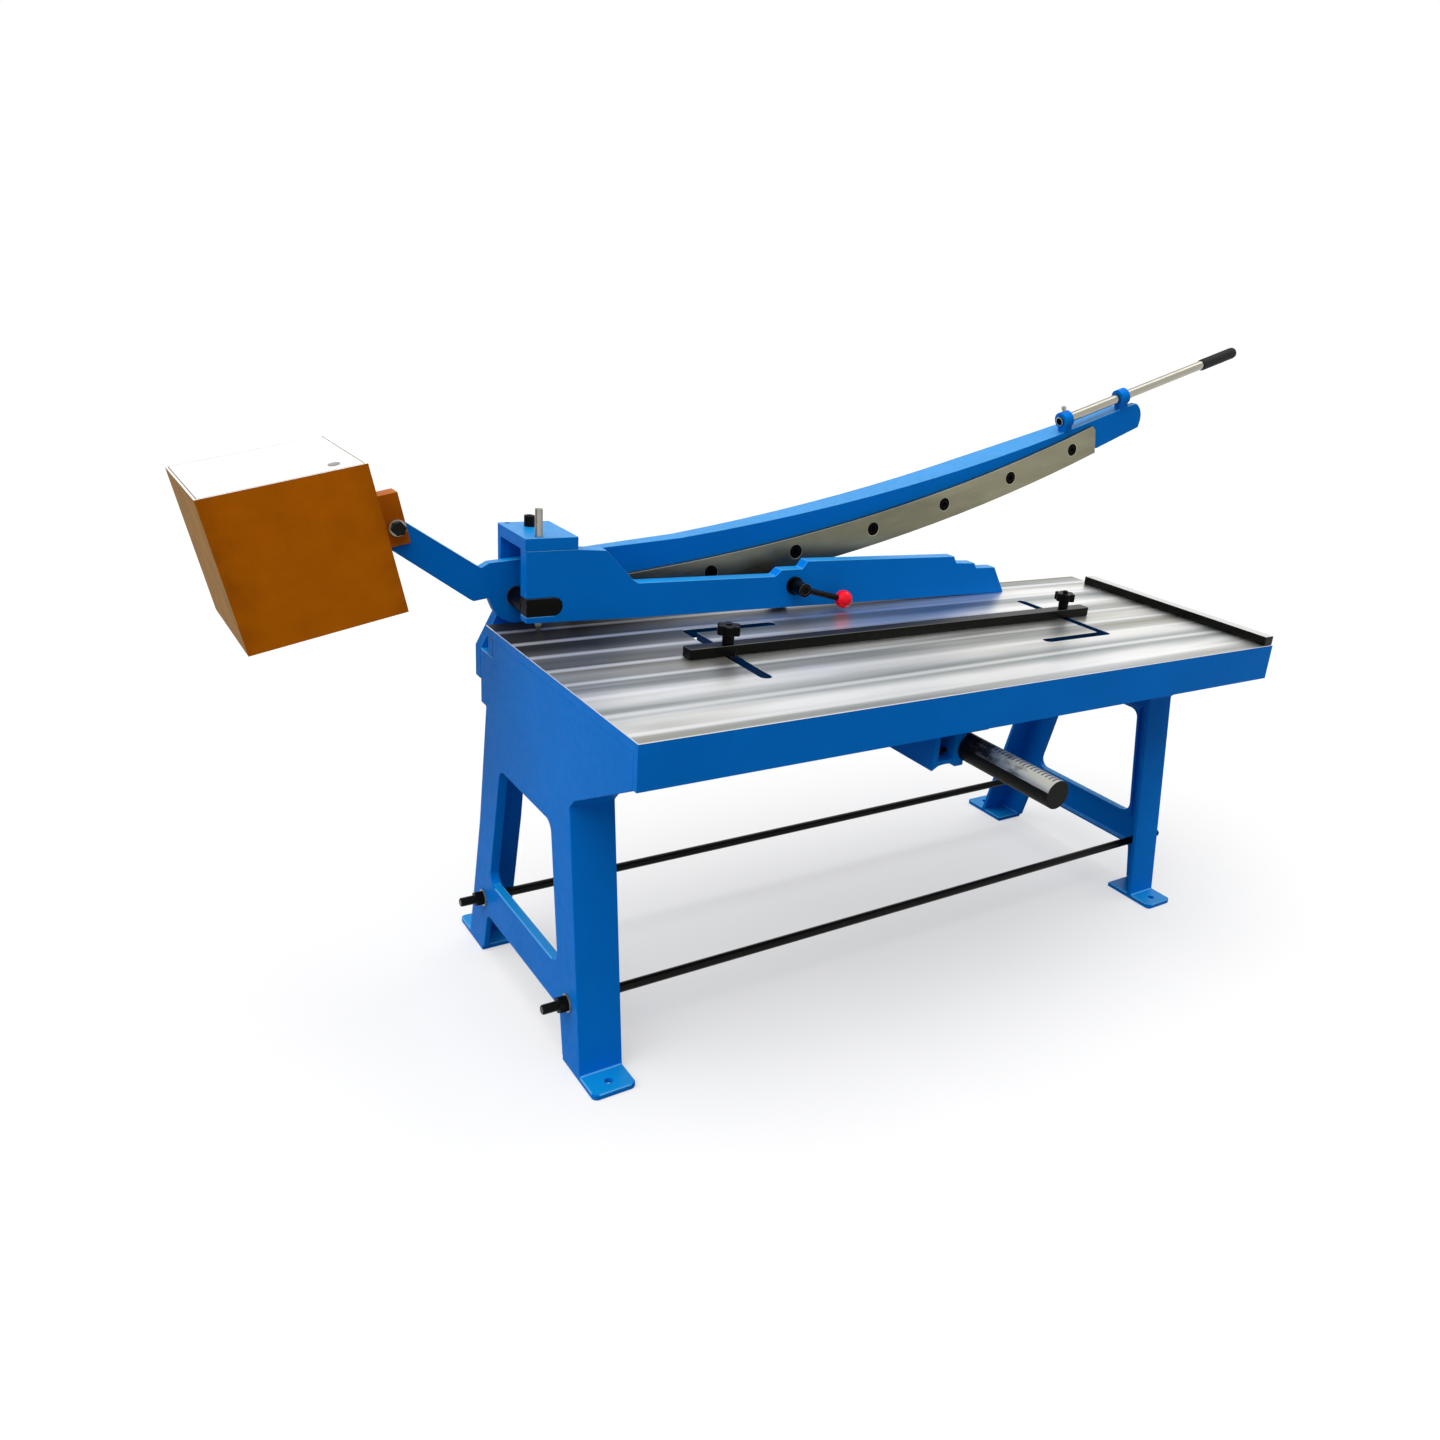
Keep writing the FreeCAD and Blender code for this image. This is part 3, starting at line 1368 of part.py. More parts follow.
def fence():
    """A straight fence on the table, held by two T bolts in the slots and two knobs."""
    low_y = front + S.fence_distance
    start = left + S.fence_start
    low_z = top + S.rest_gap
    high_z = top + S.fence_height
    corner = (start + S.fence_length, low_y + S.fence_depth, high_z)
    bar = block("fence_blank", (start, low_y, low_z), corner)
    y = low_y + S.fence_depth / 2
    radius = S.stud_diameter / 2
    holes = []
    bolts = []
    plate_top = top - S.table_plate - S.rest_gap
    tee_low = plate_top - TEE_THICKNESS
    for side, station in enumerate((S.left_slot_station, S.right_slot_station)):
        x = left + station
        at = (x, y, low_z)
        bore = radius + S.fit_gap
        holes.append(cylinder("fence_hole_%d" % side, at, "+Z", bore, S.fence_height))
        stud_top = high_z + S.knob_height + (6 if side else -3)
        at = (x, y, tee_low)
        stud = cylinder("fence_stud_%d" % side, at, "+Z", radius, stud_top - tee_low)
        half = S.slot_width * 0.76
        low = (x - half, y - half, tee_low)
        head = block("fence_tee_%d" % side, low, (x + half, y + half, plate_top))
        bolts.append(join("fence_bolt_%d" % side, stud, head))
        name = "right_star_knob" if side else "left_star_knob"
        star_knob(name, x, y, high_z + S.rest_gap, 1)
    keep(cut("fence_bar", bar, *holes), "fence_bar")
    keep(group("fence_bolts", bolts), "fence_bolts")


def gauge_bracket():
    """The long bracket under the table: it holds the gauge bar all round at its rear."""
    x = S.gauge_station
    z = -S.gauge_drop
    radius = S.gauge_diameter / 2
    bracket = Casting("bracket_casting", (left, gauge_bracket_y, top))
    roof = -S.table_plate
    ceiling = roof - S.gauge_flange
    sole = z - radius - GAUGE_RING
    arch = z - radius
    shape = outline(
        (gauge_left - GAUGE_LUG, roof),
        (gauge_left - GAUGE_LUG, ceiling),
        (gauge_left, ceiling),
        (gauge_left, sole - 1),
        (gauge_left + 16, arch, 1.5),
        (x - radius - 12, arch),
        (x - radius - 4, sole),
        (x + radius - 2, sole),
        (gauge_right, sole + 16),
        (gauge_right, ceiling),
        (gauge_right + GAUGE_LUG, ceiling),
        (gauge_right + GAUGE_LUG, roof),
    )
    near_window = rectangle((gauge_left + GAUGE_WALL, arch + 10), (x - radius - 12, ceiling))
    upper_window = rectangle((x - radius, z + radius + GAUGE_RING), (x + radius, ceiling))
    bore = circle(x, z, radius + S.running_gap)
    bracket.pad("XZ_Plane", [shape, near_window, upper_window, bore], 0, S.gauge_bracket_length)
    open_side = rectangle((x - 11, sole - 5), (gauge_right + 5, z + radius + 3))
    bracket.pocket("XZ_Plane", [open_side], 0, S.gauge_bracket_length - S.gauge_ring_length)
    holes = [circle(bolt_x, y - (gauge_bracket_y - front), gauge_bolt_radius + S.fit_gap)
             for bolt_x in gauge_bolt_stations for y in gauge_bolt_rows]
    bracket.pocket("XY_Plane", holes, ceiling, S.gauge_flange)
    return bracket.body


def strip_gauge():
    """A round bar that slides in the bracket, with a stop plate at its rear end."""
    x = left + S.gauge_station
    z = top - S.gauge_drop
    radius = S.gauge_diameter / 2
    along = size_of(GAUGE_SCREW_ANGLE)
    turn = lean(along)
    near = radius + S.rest_gap
    far = near + S.gauge_screw_length
    base = (x - cosine(along) * far, gauge_bracket_y + 25, z - sine(along) * far)
    screw = S.gauge_screw_diameter / 2
    tap = cylinder("gauge_tap", base, turn, screw + S.fit_gap, S.gauge_screw_length)
    keep(cut("gauge_bracket", gauge_bracket(), tap), "gauge_bracket")
    shank = cylinder("clamp_shank", base, turn, screw, S.gauge_screw_length)
    head_at = [at - part * screw * 1.5 for at, part in zip(base, (cosine(along), size_of(0), sine(along)))]
    head = hexagon("clamp_head", head_at, turn, screw * 3.25, screw * 1.5)
    keep(join("gauge_clamp_screw", shank, head), "gauge_clamp_screw")
    bolts = []
    underside = top - S.table_plate - S.gauge_flange
    for side, bolt_x in enumerate(gauge_bolt_stations):
        for row, y in enumerate(gauge_bolt_rows):
            at = (left + bolt_x, front + y, underside)
            name = "gauge_bolt_%d_%d" % (side, row)
            bolts.append(hex_bolt(name, at, "+Z", gauge_bolt_radius, S.gauge_flange + 14))
    keep(group("gauge_bracket_bolts", bolts), "gauge_bracket_bolts")
    start = front - S.gauge_overhang
    bar = cylinder("gauge_bar_outer", (x, start, z), "+Y", radius, S.gauge_length)
    inner = radius - S.gauge_wall
    hollow = cylinder("gauge_bar_inner", (x, start + GAUGE_END_WALL, z), "+Y", inner, S.gauge_length)
    keep(cut("gauge_bar", bar, hollow), "gauge_bar")
    end = start + S.gauge_length
    at = (x, end - STOP_PLUG_LENGTH, z)
    plug = cylinder("stop_plug", at, "+Y", inner - S.fit_gap, STOP_PLUG_LENGTH)
    half = S.gauge_stop_width / 2
    plate_low = (x - half, end, z - radius - 6)
    plate = block("stop_plate", plate_low, (x + half, end + S.gauge_stop_thickness, top + S.gauge_stop_rise))
    keep(join("gauge_stop", plug, plate), "gauge_stop")


leg_casting("left_leg_casting", 1)
leg_casting("right_leg_casting", -1)
table()
frame_fasteners()
lower_blade()
squaring_bar()
tie_rods()
pivot_upright()
pivot_shaft()
blade_arm()
upper_blade()
handle()
counterweight()
hold_down()
cam_lever()
fence()
strip_gauge()


def check_and_save():
    """Stop if any object failed, then write each named piece to its own file."""
    doc.recompute()
    for item in doc.Objects:
        if "Invalid" in item.State or "Error" in item.State:
            raise ValueError("%s did not compute: %s" % (item.Label, item.State))
    os.makedirs("parts", exist_ok=True)
    for item in nodes:
        shape = item.Shape
        if shape.isNull() or not shape.isValid():
            raise ValueError("%s has no valid shape" % item.Label)
        shape.exportStep("parts/%s.step" % item.Label)
        print(item.Label, len(shape.Solids), round(shape.Volume))


check_and_save()
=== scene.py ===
import json
import math
from functools import cache
from typing import NamedTuple

import bmesh
import bpy
from bpy.props import FloatProperty, FloatVectorProperty, PointerProperty
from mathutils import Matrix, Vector


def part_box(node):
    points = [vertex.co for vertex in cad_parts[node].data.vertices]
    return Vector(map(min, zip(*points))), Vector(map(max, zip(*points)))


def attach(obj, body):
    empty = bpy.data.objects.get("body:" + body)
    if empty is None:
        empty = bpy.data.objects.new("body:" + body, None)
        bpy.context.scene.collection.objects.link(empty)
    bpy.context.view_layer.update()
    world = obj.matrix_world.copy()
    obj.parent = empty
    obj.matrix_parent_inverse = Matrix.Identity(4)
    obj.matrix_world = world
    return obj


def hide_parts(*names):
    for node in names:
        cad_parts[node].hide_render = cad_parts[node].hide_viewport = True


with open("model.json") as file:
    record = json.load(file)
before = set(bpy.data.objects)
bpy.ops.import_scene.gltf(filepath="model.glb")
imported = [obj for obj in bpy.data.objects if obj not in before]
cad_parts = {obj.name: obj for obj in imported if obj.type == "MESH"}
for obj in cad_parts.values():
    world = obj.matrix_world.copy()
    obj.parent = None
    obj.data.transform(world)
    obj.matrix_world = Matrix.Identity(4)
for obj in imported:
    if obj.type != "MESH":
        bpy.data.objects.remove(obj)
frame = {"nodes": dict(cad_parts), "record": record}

bl_info = {
    "name": "Manual Bench Shear",
    "version": (1, 0, 0),
    "blender": (4, 5, 0),
    "location": "3D View > Sidebar > Bench Shear",
    "description": "Dresses the packed frame of a manual bench shear in its finishes",
    "category": "Object",
}

NODES = frame["nodes"]
RECORD = frame["record"]
BODY_OF = {node: body for body, names in RECORD["behaviour"]["bodies"].items() for node in names}

MM = 0.001

# The arm stands open by this angle, and the handle leans a little more.
ARM_ANGLE = math.radians(12.4)
HANDLE_ANGLE = math.radians(17.48)
ARM_RUN = Vector((math.cos(ARM_ANGLE), 0, math.sin(ARM_ANGLE)))
ARM_RISE = Vector((-math.sin(ARM_ANGLE), 0, math.cos(ARM_ANGLE)))
HANDLE_RUN = Vector((math.cos(HANDLE_ANGLE), 0, math.sin(HANDLE_ANGLE)))
RIGHT = Vector((1, 0, 0))

# The frame's corners nearer than WELD are one corner, and its faces within FLAT are one face.
# Its edges over KEEN are rounded, and edges over CREASE show as edges.
WELD = 0.02 * MM
FLAT = math.radians(0.4)
KEEN = math.radians(28)
CREASE = math.radians(38)

# The narrow faces that round a small hole's rim have a shorter outline than this.
RIM = 16 * MM

# A screw thread's radius at its root, as a share of the radius at its crest.
ROOT = 0.93


# Colours and nodes

# A Mix node's sockets when it mixes colours.
SHARE, FIRST, SECOND, MIXED = 0, 6, 7, 2

# A wave texture of scale 1 has its crests this far apart.
CREST = math.pi / 10


def linear(code):
    """The linear colour of an sRGB hex value."""
    parts = [int(code[i : i + 2], 16) / 255 for i in (1, 3, 5)]
    return tuple(c / 12.92 if c <= 0.04045 else ((c + 0.055) / 1.055) ** 2.4 for c in parts)


def tinted(colour, share):
    """The colour made darker, or lighter where the share is over 1."""
    return tuple(min(1, c * share) for c in colour[:3])


def add(tree, kind, inputs=None, out=0, **settings):
    """Add a node with its settings, fill or link its inputs, and return one of its outputs."""
    node = tree.nodes.new(kind)
    for name, value in settings.items():
        setattr(node, name, value)
    for name, value in (inputs or {}).items():
        socket = node.inputs[name]
        if isinstance(value, bpy.types.NodeSocket):
            tree.links.new(value, socket)
        elif socket.type == "RGBA":
            socket.default_value = (*value[:3], 1)
        else:
            socket.default_value = value
    return node.outputs[out] if node.outputs else None


class Layer(NamedTuple):
    """One noise pattern of a finish, and what it does where it is strongest."""

    size: float  # width of its features in millimetres
    tint: tuple = (0, 0, 0)  # colour that it brings
    share: float = 0.0  # how much of that colour
    shine: float = 0.0  # added to the roughness
    depth: float = 0.0  # height of its relief in millimetres
    stretch: tuple = (1, 1, 1)  # under 1 draws the pattern out along that axis
    detail: float = 3.0
    rough: float = 0.6
    low: float = 0.3  # noise values where the pattern starts and is full
    high: float = 0.7


def begin(name, turn=0.0):
    """An empty material, and its object coordinates in metres, turned about Y."""
    material = bpy.data.materials.new(name)
    material.use_nodes = True
    tree = material.node_tree
    tree.nodes.clear()
    where = add(tree, "ShaderNodeTexCoord", out="Object")
    if turn:
        where = add(tree, "ShaderNodeMapping", {"Vector": where, "Rotation": (0, turn, 0)})
    return material, where


def close(material, where, layers, tone, gloss, **sockets):
    """Lay the patterns over a colour and a roughness, and end the material with its shader.

    sockets are numbers for the shader's own sockets.
    """
    tree = material.node_tree
    for layer in layers:
        placed = add(tree, "ShaderNodeMapping", {"Vector": where, "Scale": layer.stretch})
        scale = 1 / (layer.size * MM)
        grain = {"Scale": scale, "Detail": layer.detail, "Roughness": layer.rough}
        noise = add(tree, "ShaderNodeTexNoise", {"Vector": placed} | grain)
        ramp = {"Value": noise, "From Min": layer.low, "From Max": layer.high}
        amount = add(tree, "ShaderNodeMapRange", ramp)
        if layer.share:
            part = {0: amount, 1: layer.share}
            part = add(tree, "ShaderNodeMath", part, operation="MULTIPLY")
            mix = {SHARE: part, FIRST: tone, SECOND: layer.tint}
            tone = add(tree, "ShaderNodeMix", mix, MIXED, data_type="RGBA")
        if layer.shine:
            total = {0: amount, 1: layer.shine, 2: gloss}
            gloss = add(tree, "ShaderNodeMath", total, operation="MULTIPLY_ADD")
        if layer.depth:
            relief = {"Height": amount, "Distance": layer.depth * MM}
            if "Normal" in sockets:
                relief["Normal"] = sockets["Normal"]
            sockets["Normal"] = add(tree, "ShaderNodeBump", relief)
    sockets |= {"Base Color": tone, "Roughness": gloss}
    shader = add(tree, "ShaderNodeBsdfPrincipled", sockets)
    add(tree, "ShaderNodeOutputMaterial", {"Surface": shader})
    return material


# Finishes


def machine_enamel(name, colour, gloss=0.41, ior=1.12):
    """Machine enamel, sprayed on cast iron and steel plate.

    It gives the eye an even satin skin, with a fine orange peel over the casting's slow waves.
    Its index of refraction is matched to the photograph from 1.5: its gloss is weak face-on, and
    so the colour stays deep. Faces on top are glossier and turn pale seen at a slant, and their
    lighter blue is a painted highlight.
    """
    material, where = begin(name)
    layers = (
        Layer(180, tinted(colour, 1.05), 1, rough=0.55),
        Layer(14, tinted(colour, 0.8), 0.12, shine=0.12),
        Layer(40, depth=0.07, detail=2, rough=0.5, low=0.2, high=0.8),
        # Orange peel, about 2 mm from crest to crest.
        Layer(2.4, depth=0.015, detail=1, rough=0.4, low=0.2, high=0.8),
    )
    return close(material, where, layers, tinted(colour, 0.95), gloss, IOR=ior)


def box_enamel(name, colour, gloss=0.3, ior=1.13):
    """Enamel brushed by hand on sheet steel.

    It gives the eye soft clouds, darker beside the sheet's folds as painted shade, and slow brush
    marks down the sides. The side away from the machine is dull, and pale beige as a painted
    reflection.
    """
    material, where = begin(name, ARM_ANGLE)
    tree = material.node_tree
    run = add(tree, "ShaderNodeSeparateXYZ", {"Vector": where}, "X")
    corners = [v.co.dot(ARM_RUN) for v in NODES["counterweight_box"].data.vertices]
    tone = tinted(colour, 0.88)
    # The sheet is darker beside its two upright folds, 60 and 40 mm wide, as painted shade.
    for fold, clear, most in ((min(corners), 60 * MM, 0.6), (max(corners), -40 * MM, 0.5)):
        ramp = {"Value": run, "From Min": fold, "From Max": fold + clear}
        shade = add(tree, "ShaderNodeMapRange", ramp | {"To Min": most, "To Max": 0})
        mix = {SHARE: shade, FIRST: tone, SECOND: tinted(colour, 0.45)}
        tone = add(tree, "ShaderNodeMix", mix, MIXED, data_type="RGBA")
    layers = (
        Layer(60, tinted(colour, 1.12), 0.7, shine=0.16, detail=4, high=0.75),
        Layer(9, tinted(colour, 0.7), 0.1, depth=0.024, stretch=(1, 1, 0.12)),
    )
    return close(material, where, layers, tone, gloss, IOR=ior)


def lid_enamel(name, colour):
    """White enamel, sprayed on sheet steel. It gives the eye a soft white with dusty patches."""
    material, where = begin(name, ARM_ANGLE)
    layers = (
        Layer(45, tinted(colour, 0.86), 1, shine=0.2, detail=5, rough=0.65, low=0.45, high=0.8),
        Layer(2.4, depth=0.015, detail=1, rough=0.4, low=0.2, high=0.8),
    )
    return close(material, where, layers, colour, 0.35)


def planed_table(name, dark, light):
    """Mild steel plate, planed lengthwise on a planing machine and oiled.

    It gives the eye broad soft bands along the table, one for each pass of the tool, painted as
    reflections of its waves, with a warm haze in places, steel darker in the rear left corner under
    the pivot, painted shade and reflection in a strip along the blade, and narrow white painted
    highlights over it all.
    """
    material, where = begin(name)
    tree = material.node_tree
    band = bpy.context.scene.shear_sizes.planing_band
    low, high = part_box("table_plate")
    across = add(tree, "ShaderNodeSeparateXYZ", {"Vector": where}, "X")
    deep = add(tree, "ShaderNodeSeparateXYZ", {"Vector": where}, "Y")
    # The steel is darker over about 0.8 m in the rear left corner, and as painted shade and
    # reflection under the beam in a strip beside the blade. Each is a ramp along the table times a
    # ramp across it.
    ramps = []
    for value, start, end, most in (
        (across, low.x + 0.85, low.x + 0.15, 1),
        (deep, high.y - 0.5, high.y - 0.18, 0.93),
        (across, low.x + 1.4, low.x + 0.9, 1),
        (deep, high.y - 0.16, high.y - 0.09, 0.6),
    ):
        ramp = {"Value": value, "From Min": start, "From Max": end, "To Max": most}
        ramps.append(add(tree, "ShaderNodeMapRange", ramp))
    corner = add(tree, "ShaderNodeMath", {0: ramps[0], 1: ramps[1]}, operation="MULTIPLY")
    strip = add(tree, "ShaderNodeMath", {0: ramps[2], 1: ramps[3]}, operation="MULTIPLY")
    # oiled marks the darker rear left corner, and the painted shade and reflection beside the
    # blade.
    oiled = add(tree, "ShaderNodeMath", {0: corner, 1: strip}, operation="MAXIMUM")
    # The kind of pattern, its width in metres, how far it is drawn out, where it starts and is
    # full, how much of its colour it brings, and that colour.
    tone = dark
    for kind, width, stretch, start, full, share, tint in (
        # Light bands: painted reflections of the waves that each pass of the tool left.
        ("wave", band * 1.35, 0.10, 0.10, 0.90, 0.95, light),
        ("noise", 0.150, 0.15, 0.45, 0.66, 0.75, linear("#ABA492")),
        ("noise", 0.110, 0.25, 0.52, 0.75, 0.35, tinted(dark, 0.55)),
        ("noise", 0.032, 0.05, 0.45, 0.75, 0.45, light),
        # Darker in the rear left corner, and painted shade and reflection beside the blade.
        ("oil", 0, 1, 0, 1, 1, linear("#2A2925")),
        # Narrow white glints: painted highlights.
        ("wave", band * 0.85, 0.16, 0.82, 1.00, 0.7, (1, 1, 1)),
    ):
        placed = add(tree, "ShaderNodeMapping", {"Vector": where, "Scale": (stretch, 1, 1)})
        if kind == "wave":
            sway = {"Distortion": 3, "Detail": 1.5, "Detail Scale": 0.7}
            wave = {"Vector": placed, "Scale": CREST / width} | sway
            pattern = add(tree, "ShaderNodeTexWave", wave, "Fac", bands_direction="Y")
        elif kind == "noise":
            noise = {"Vector": placed, "Scale": 1 / width, "Detail": 2}
            pattern = add(tree, "ShaderNodeTexNoise", noise)
        else:
            pattern = oiled
        ramp = {"Value": pattern, "From Min": start, "From Max": full, "To Max": share}
        amount = add(tree, "ShaderNodeMapRange", ramp)
        mix = {SHARE: amount, FIRST: tone, SECOND: tint}
        tone = add(tree, "ShaderNodeMix", mix, MIXED, data_type="RGBA")
    # The same darker places make the steel duller, too.
    gloss = add(tree, "ShaderNodeMath", {0: oiled, 1: 0.2, 2: 0.34}, operation="MULTIPLY_ADD")
    layers = (
        Layer(60, shine=0.08, depth=0.06, stretch=(0.1, 1, 1), detail=1),
        # Tool marks a few millimetres apart, drawn wider than the real ones so that they show.
        Layer(4, tinted(dark, 0.5), 0.06, depth=0.004, stretch=(0.008, 1, 1), low=0.25, high=0.75),
    )
    return close(material, where, layers, tone, gloss, Metallic=1)


def ground_blade(name, colour):
    """Tool steel, ground along its length on a surface grinder.

    It gives the eye a satin khaki grey with fine straight lines along the blade.
    """
    material, where = begin(name, ARM_ANGLE)
    dark = tinted(colour, 0.6)
    layers = (
        Layer(90, tinted(colour, 1.25), 1, stretch=(0.3, 1, 1)),
        Layer(1.6, dark, 0.25, 0.16, 0.01, (0.01, 1, 1), rough=0.7, low=0.25, high=0.75),
    )
    return close(material, where, layers, tinted(colour, 0.8), 0.3, Metallic=1)


def black_steel(name, colour, gloss):
    """Steel, blackened in hot oxide salts and oiled.

    It gives the eye a near black metal with a soft sheen and small rubbed spots.
    """
    material, where = begin(name)
    layers = (
        Layer(12, linear("#3A3A35"), 0.35, detail=4, rough=0.65, low=0.55, high=0.85),
        Layer(1.5, shine=0.14, depth=0.012, detail=2),
    )
    return close(material, where, layers, colour, gloss, Metallic=1)


def bright_metal(name, colour, gloss, size=1.0, stretch=(0.02, 1, 1), turn=0.0):
    """Metal that was plated after turning, or rubbed bright by use.

    It gives the eye a clear sheen with fine lines along the way it was drawn or rubbed.
    """
    material, where = begin(name, turn)
    layers = (
        Layer(size, tinted(colour, 0.6), 0.3, depth=0.006, stretch=stretch),
        Layer(20, tinted(colour, 0.75), 0.25, shine=0.12),
    )
    return close(material, where, layers, colour, gloss, Metallic=1)


def moulded_plastic(name, colour, gloss, grain=0.01, ior=1.3):
    """Phenolic or rubber, moulded in a polished or a sparked mould.

    It gives the eye one even colour with a faint grain from the mould. The blade bolts' heads get
    the same even, near black skin, as painted shade in their sockets. The index of refraction is
    matched to the photograph from 1.5, as the enamel's is.
    """
    material, where = begin(name)
    layers = (
        Layer(9, tinted(colour, 1.06), 1, shine=0.08, rough=0.5),
        Layer(0.8, depth=grain, detail=1, rough=0.5),
    )
    return close(material, where, layers, tinted(colour, 0.93), gloss, IOR=ior)


def rough_iron(name, colour):
    """Grey iron as it came from the sand. It gives the eye a dull grain with rusty patches."""
    material, where = begin(name)
    layers = (
        Layer(30, linear("#5A3B28"), 1, detail=4, low=0.5, high=0.8),
        Layer(2.5, depth=0.14, detail=4, rough=0.7),
    )
    return close(material, where, layers, colour, 0.75, Metallic=1)


def graduated_face(name, light, dark):
    """The gauge bar's scale: bright machined steel, with lines cut and blackened.

    It gives the eye a satin strip, bright in front and darker towards the rear as painted shade,
    with smears of black over it, and a short line at each step along its right edge.
    """
    material, where = begin(name)
    tree = material.node_tree
    low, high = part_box("gauge_bar")
    middle = (low.x + high.x) / 2
    step = bpy.context.scene.shear_sizes.scale_step
    across = add(tree, "ShaderNodeSeparateXYZ", {"Vector": where}, "X")
    deep = add(tree, "ShaderNodeSeparateXYZ", {"Vector": where}, "Y")
    # A line is 0.3 of a step wide, and starts 11 mm left of the bar's middle.
    steps = add(tree, "ShaderNodeMath", {0: deep, 1: 1 / step}, operation="MULTIPLY")
    part = add(tree, "ShaderNodeMath", {0: steps}, operation="FRACT")
    line = add(tree, "ShaderNodeMath", {0: part, 1: 0.3}, operation="LESS_THAN")
    start = {0: across, 1: middle - 11 * MM}
    side = add(tree, "ShaderNodeMath", start, operation="GREATER_THAN")
    cut = add(tree, "ShaderNodeMath", {0: line, 1: side}, operation="MULTIPLY")
    # The steel darkens more and more up to 250 mm from its front end, as painted shade, with smears
    # of black over that.
    placed = add(tree, "ShaderNodeMapping", {"Vector": where, "Scale": (1, 0.4, 1)})
    noise = {"Vector": placed, "Scale": 1 / (18 * MM), "Detail": 5, "Roughness": 0.7}
    noise = add(tree, "ShaderNodeTexNoise", noise)
    smears = {"Value": noise, "From Min": 0.4, "From Max": 0.7}
    smears = add(tree, "ShaderNodeMapRange", smears)
    ramp = {"Value": deep, "From Min": low.y + 30 * MM, "From Max": low.y + 250 * MM}
    painted_shade_to_rear = add(tree, "ShaderNodeMapRange", ramp | {"To Min": -0.6, "To Max": 1})
    wear_and_painted_light = add(tree, "ShaderNodeMath", {0: painted_shade_to_rear, 1: smears}, operation="ADD", use_clamp=True)
    wear_and_painted_light = add(tree, "ShaderNodeMath", {0: wear_and_painted_light, 1: cut}, operation="MAXIMUM")
    mix = {SHARE: wear_and_painted_light, FIRST: light, SECOND: dark}
    tone = add(tree, "ShaderNodeMix", mix, MIXED, data_type="RGBA")
    layers = (Layer(1.2, tinted(light, 0.5), 0.2, 0.12, 0.006, (0.3, 1, 1)),)
    return close(material, where, layers, tone, 0.36, Metallic=1)


@cache
def finish(name):
    """The finish with this name, made when it is first asked for."""
    c = bpy.context.scene.shear_colours
    makers = {
        "blue": lambda: machine_enamel("sprayed_blue_enamel", c.blue),
        # A paler blue for narrow edges that look up: a painted highlight.
        "blue edge highlight": lambda: machine_enamel("blue_enamel_edge_painted_highlight", linear("#5FB4F5"), 0.2),
        # A lighter blue for broad faces on top: a painted highlight.
        "blue top highlight": lambda: machine_enamel("blue_enamel_top_painted_highlight", c.blue_top_highlight, 0.3, 1.28),
        # A dark blue for the slots' walls: painted shade.
        "blue painted shade in slots": lambda: machine_enamel("blue_enamel_painted_shade_in_slots", tinted(c.blue, 0.12)),
        "orange": lambda: box_enamel("brushed_orange_enamel", c.orange),
        # A pale beige for the box's outer side: a painted reflection.
        "orange side reflection": lambda: box_enamel("pale_orange_enamel_painted_reflection", linear("#C4965E"), 0.6, 1.09),
        "white": lambda: lid_enamel("sprayed_white_enamel", c.lid),
        "lid edge": lambda: machine_enamel("rubbed_lid_edge", linear("#857B6E")),
        "table": lambda: planed_table("planed_oiled_steel", c.table_dark, c.table_light),
        "table edge": lambda: bright_metal("rubbed_steel_edge", linear("#E9EAE8"), 0.25),
        "blade": lambda: ground_blade("ground_tool_steel", c.blade),
        "blade edge": lambda: ground_blade("honed_tool_steel_edge", tinted(c.blade, 2.2)),
        "black": lambda: black_steel("black_oxide_steel", c.black, 0.5),
        "black gloss": lambda: black_steel("oiled_black_oxide_steel", c.black, 0.28),
        # Rubbed edges on the cam hub, and a painted highlight on the shaft's and fence's edges that
        # look up.
        "wear_and_painted_light": lambda: bright_metal("rubbed_black_oxide_edge_and_highlight", linear("#6B6A66"), 0.35, 0.8),
        "plated": lambda: bright_metal(
            "nickel_plated_tube", c.plating, 0.14, 0.8, turn=HANDLE_ANGLE
        ),
        "zinc": lambda: bright_metal(
            "zinc_plated_steel", linear("#A9A79F"), 0.34, 0.9, (1, 1, 0.2)
        ),
        "pale tip": lambda: bright_metal("turned_bright_steel", linear("#D9D3BE"), 0.25, 0.9),
        # Near black, dull heads for the blade bolts: painted shade in their sockets.
        "bolt head shade": lambda: moulded_plastic("dark_bolt_heads_painted_shade", linear("#060606"), 0.5, ior=1.12),
        "red": lambda: moulded_plastic("moulded_red_phenolic", c.ball, 0.1, 0.005),
        "knob": lambda: moulded_plastic("moulded_black_phenolic", linear("#080808"), 0.3, ior=1.15),
        "rubber": lambda: moulded_plastic("moulded_black_rubber", linear("#191A19"), 0.55, 0.03),
        "bronze": lambda: bright_metal("turned_bearing_bronze", linear("#B8864A"), 0.35),
        "ballast": lambda: rough_iron("sand_cast_iron", linear("#4C4A47")),
        "scale": lambda: graduated_face(
            "graduated_bright_steel", linear("#C4C5BC"), linear("#1A1A19")
        ),
    }
    return makers[name]()


# Pieces


def stand_in(node, how, work, finishes):
    """Make a finished mesh the piece that stands for a CAD node and rides on its body."""
    for face in work.faces:
        face.smooth = True
    for edge in work.edges:
        edge.smooth = len(edge.link_faces) == 2 and edge.calc_face_angle(0) < CREASE
    mesh = bpy.data.meshes.new(f"{node}_{how}")
    work.to_mesh(mesh)
    work.free()
    for name in finishes:
        mesh.materials.append(finish(name))
    piece = bpy.data.objects.new(f"{node}_{how}", mesh)
    bpy.context.collection.objects.link(piece)
    piece.modifiers.new("even_normals", "WEIGHTED_NORMAL").keep_sharp = True
    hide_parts(node)
    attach(piece, BODY_OF[node])


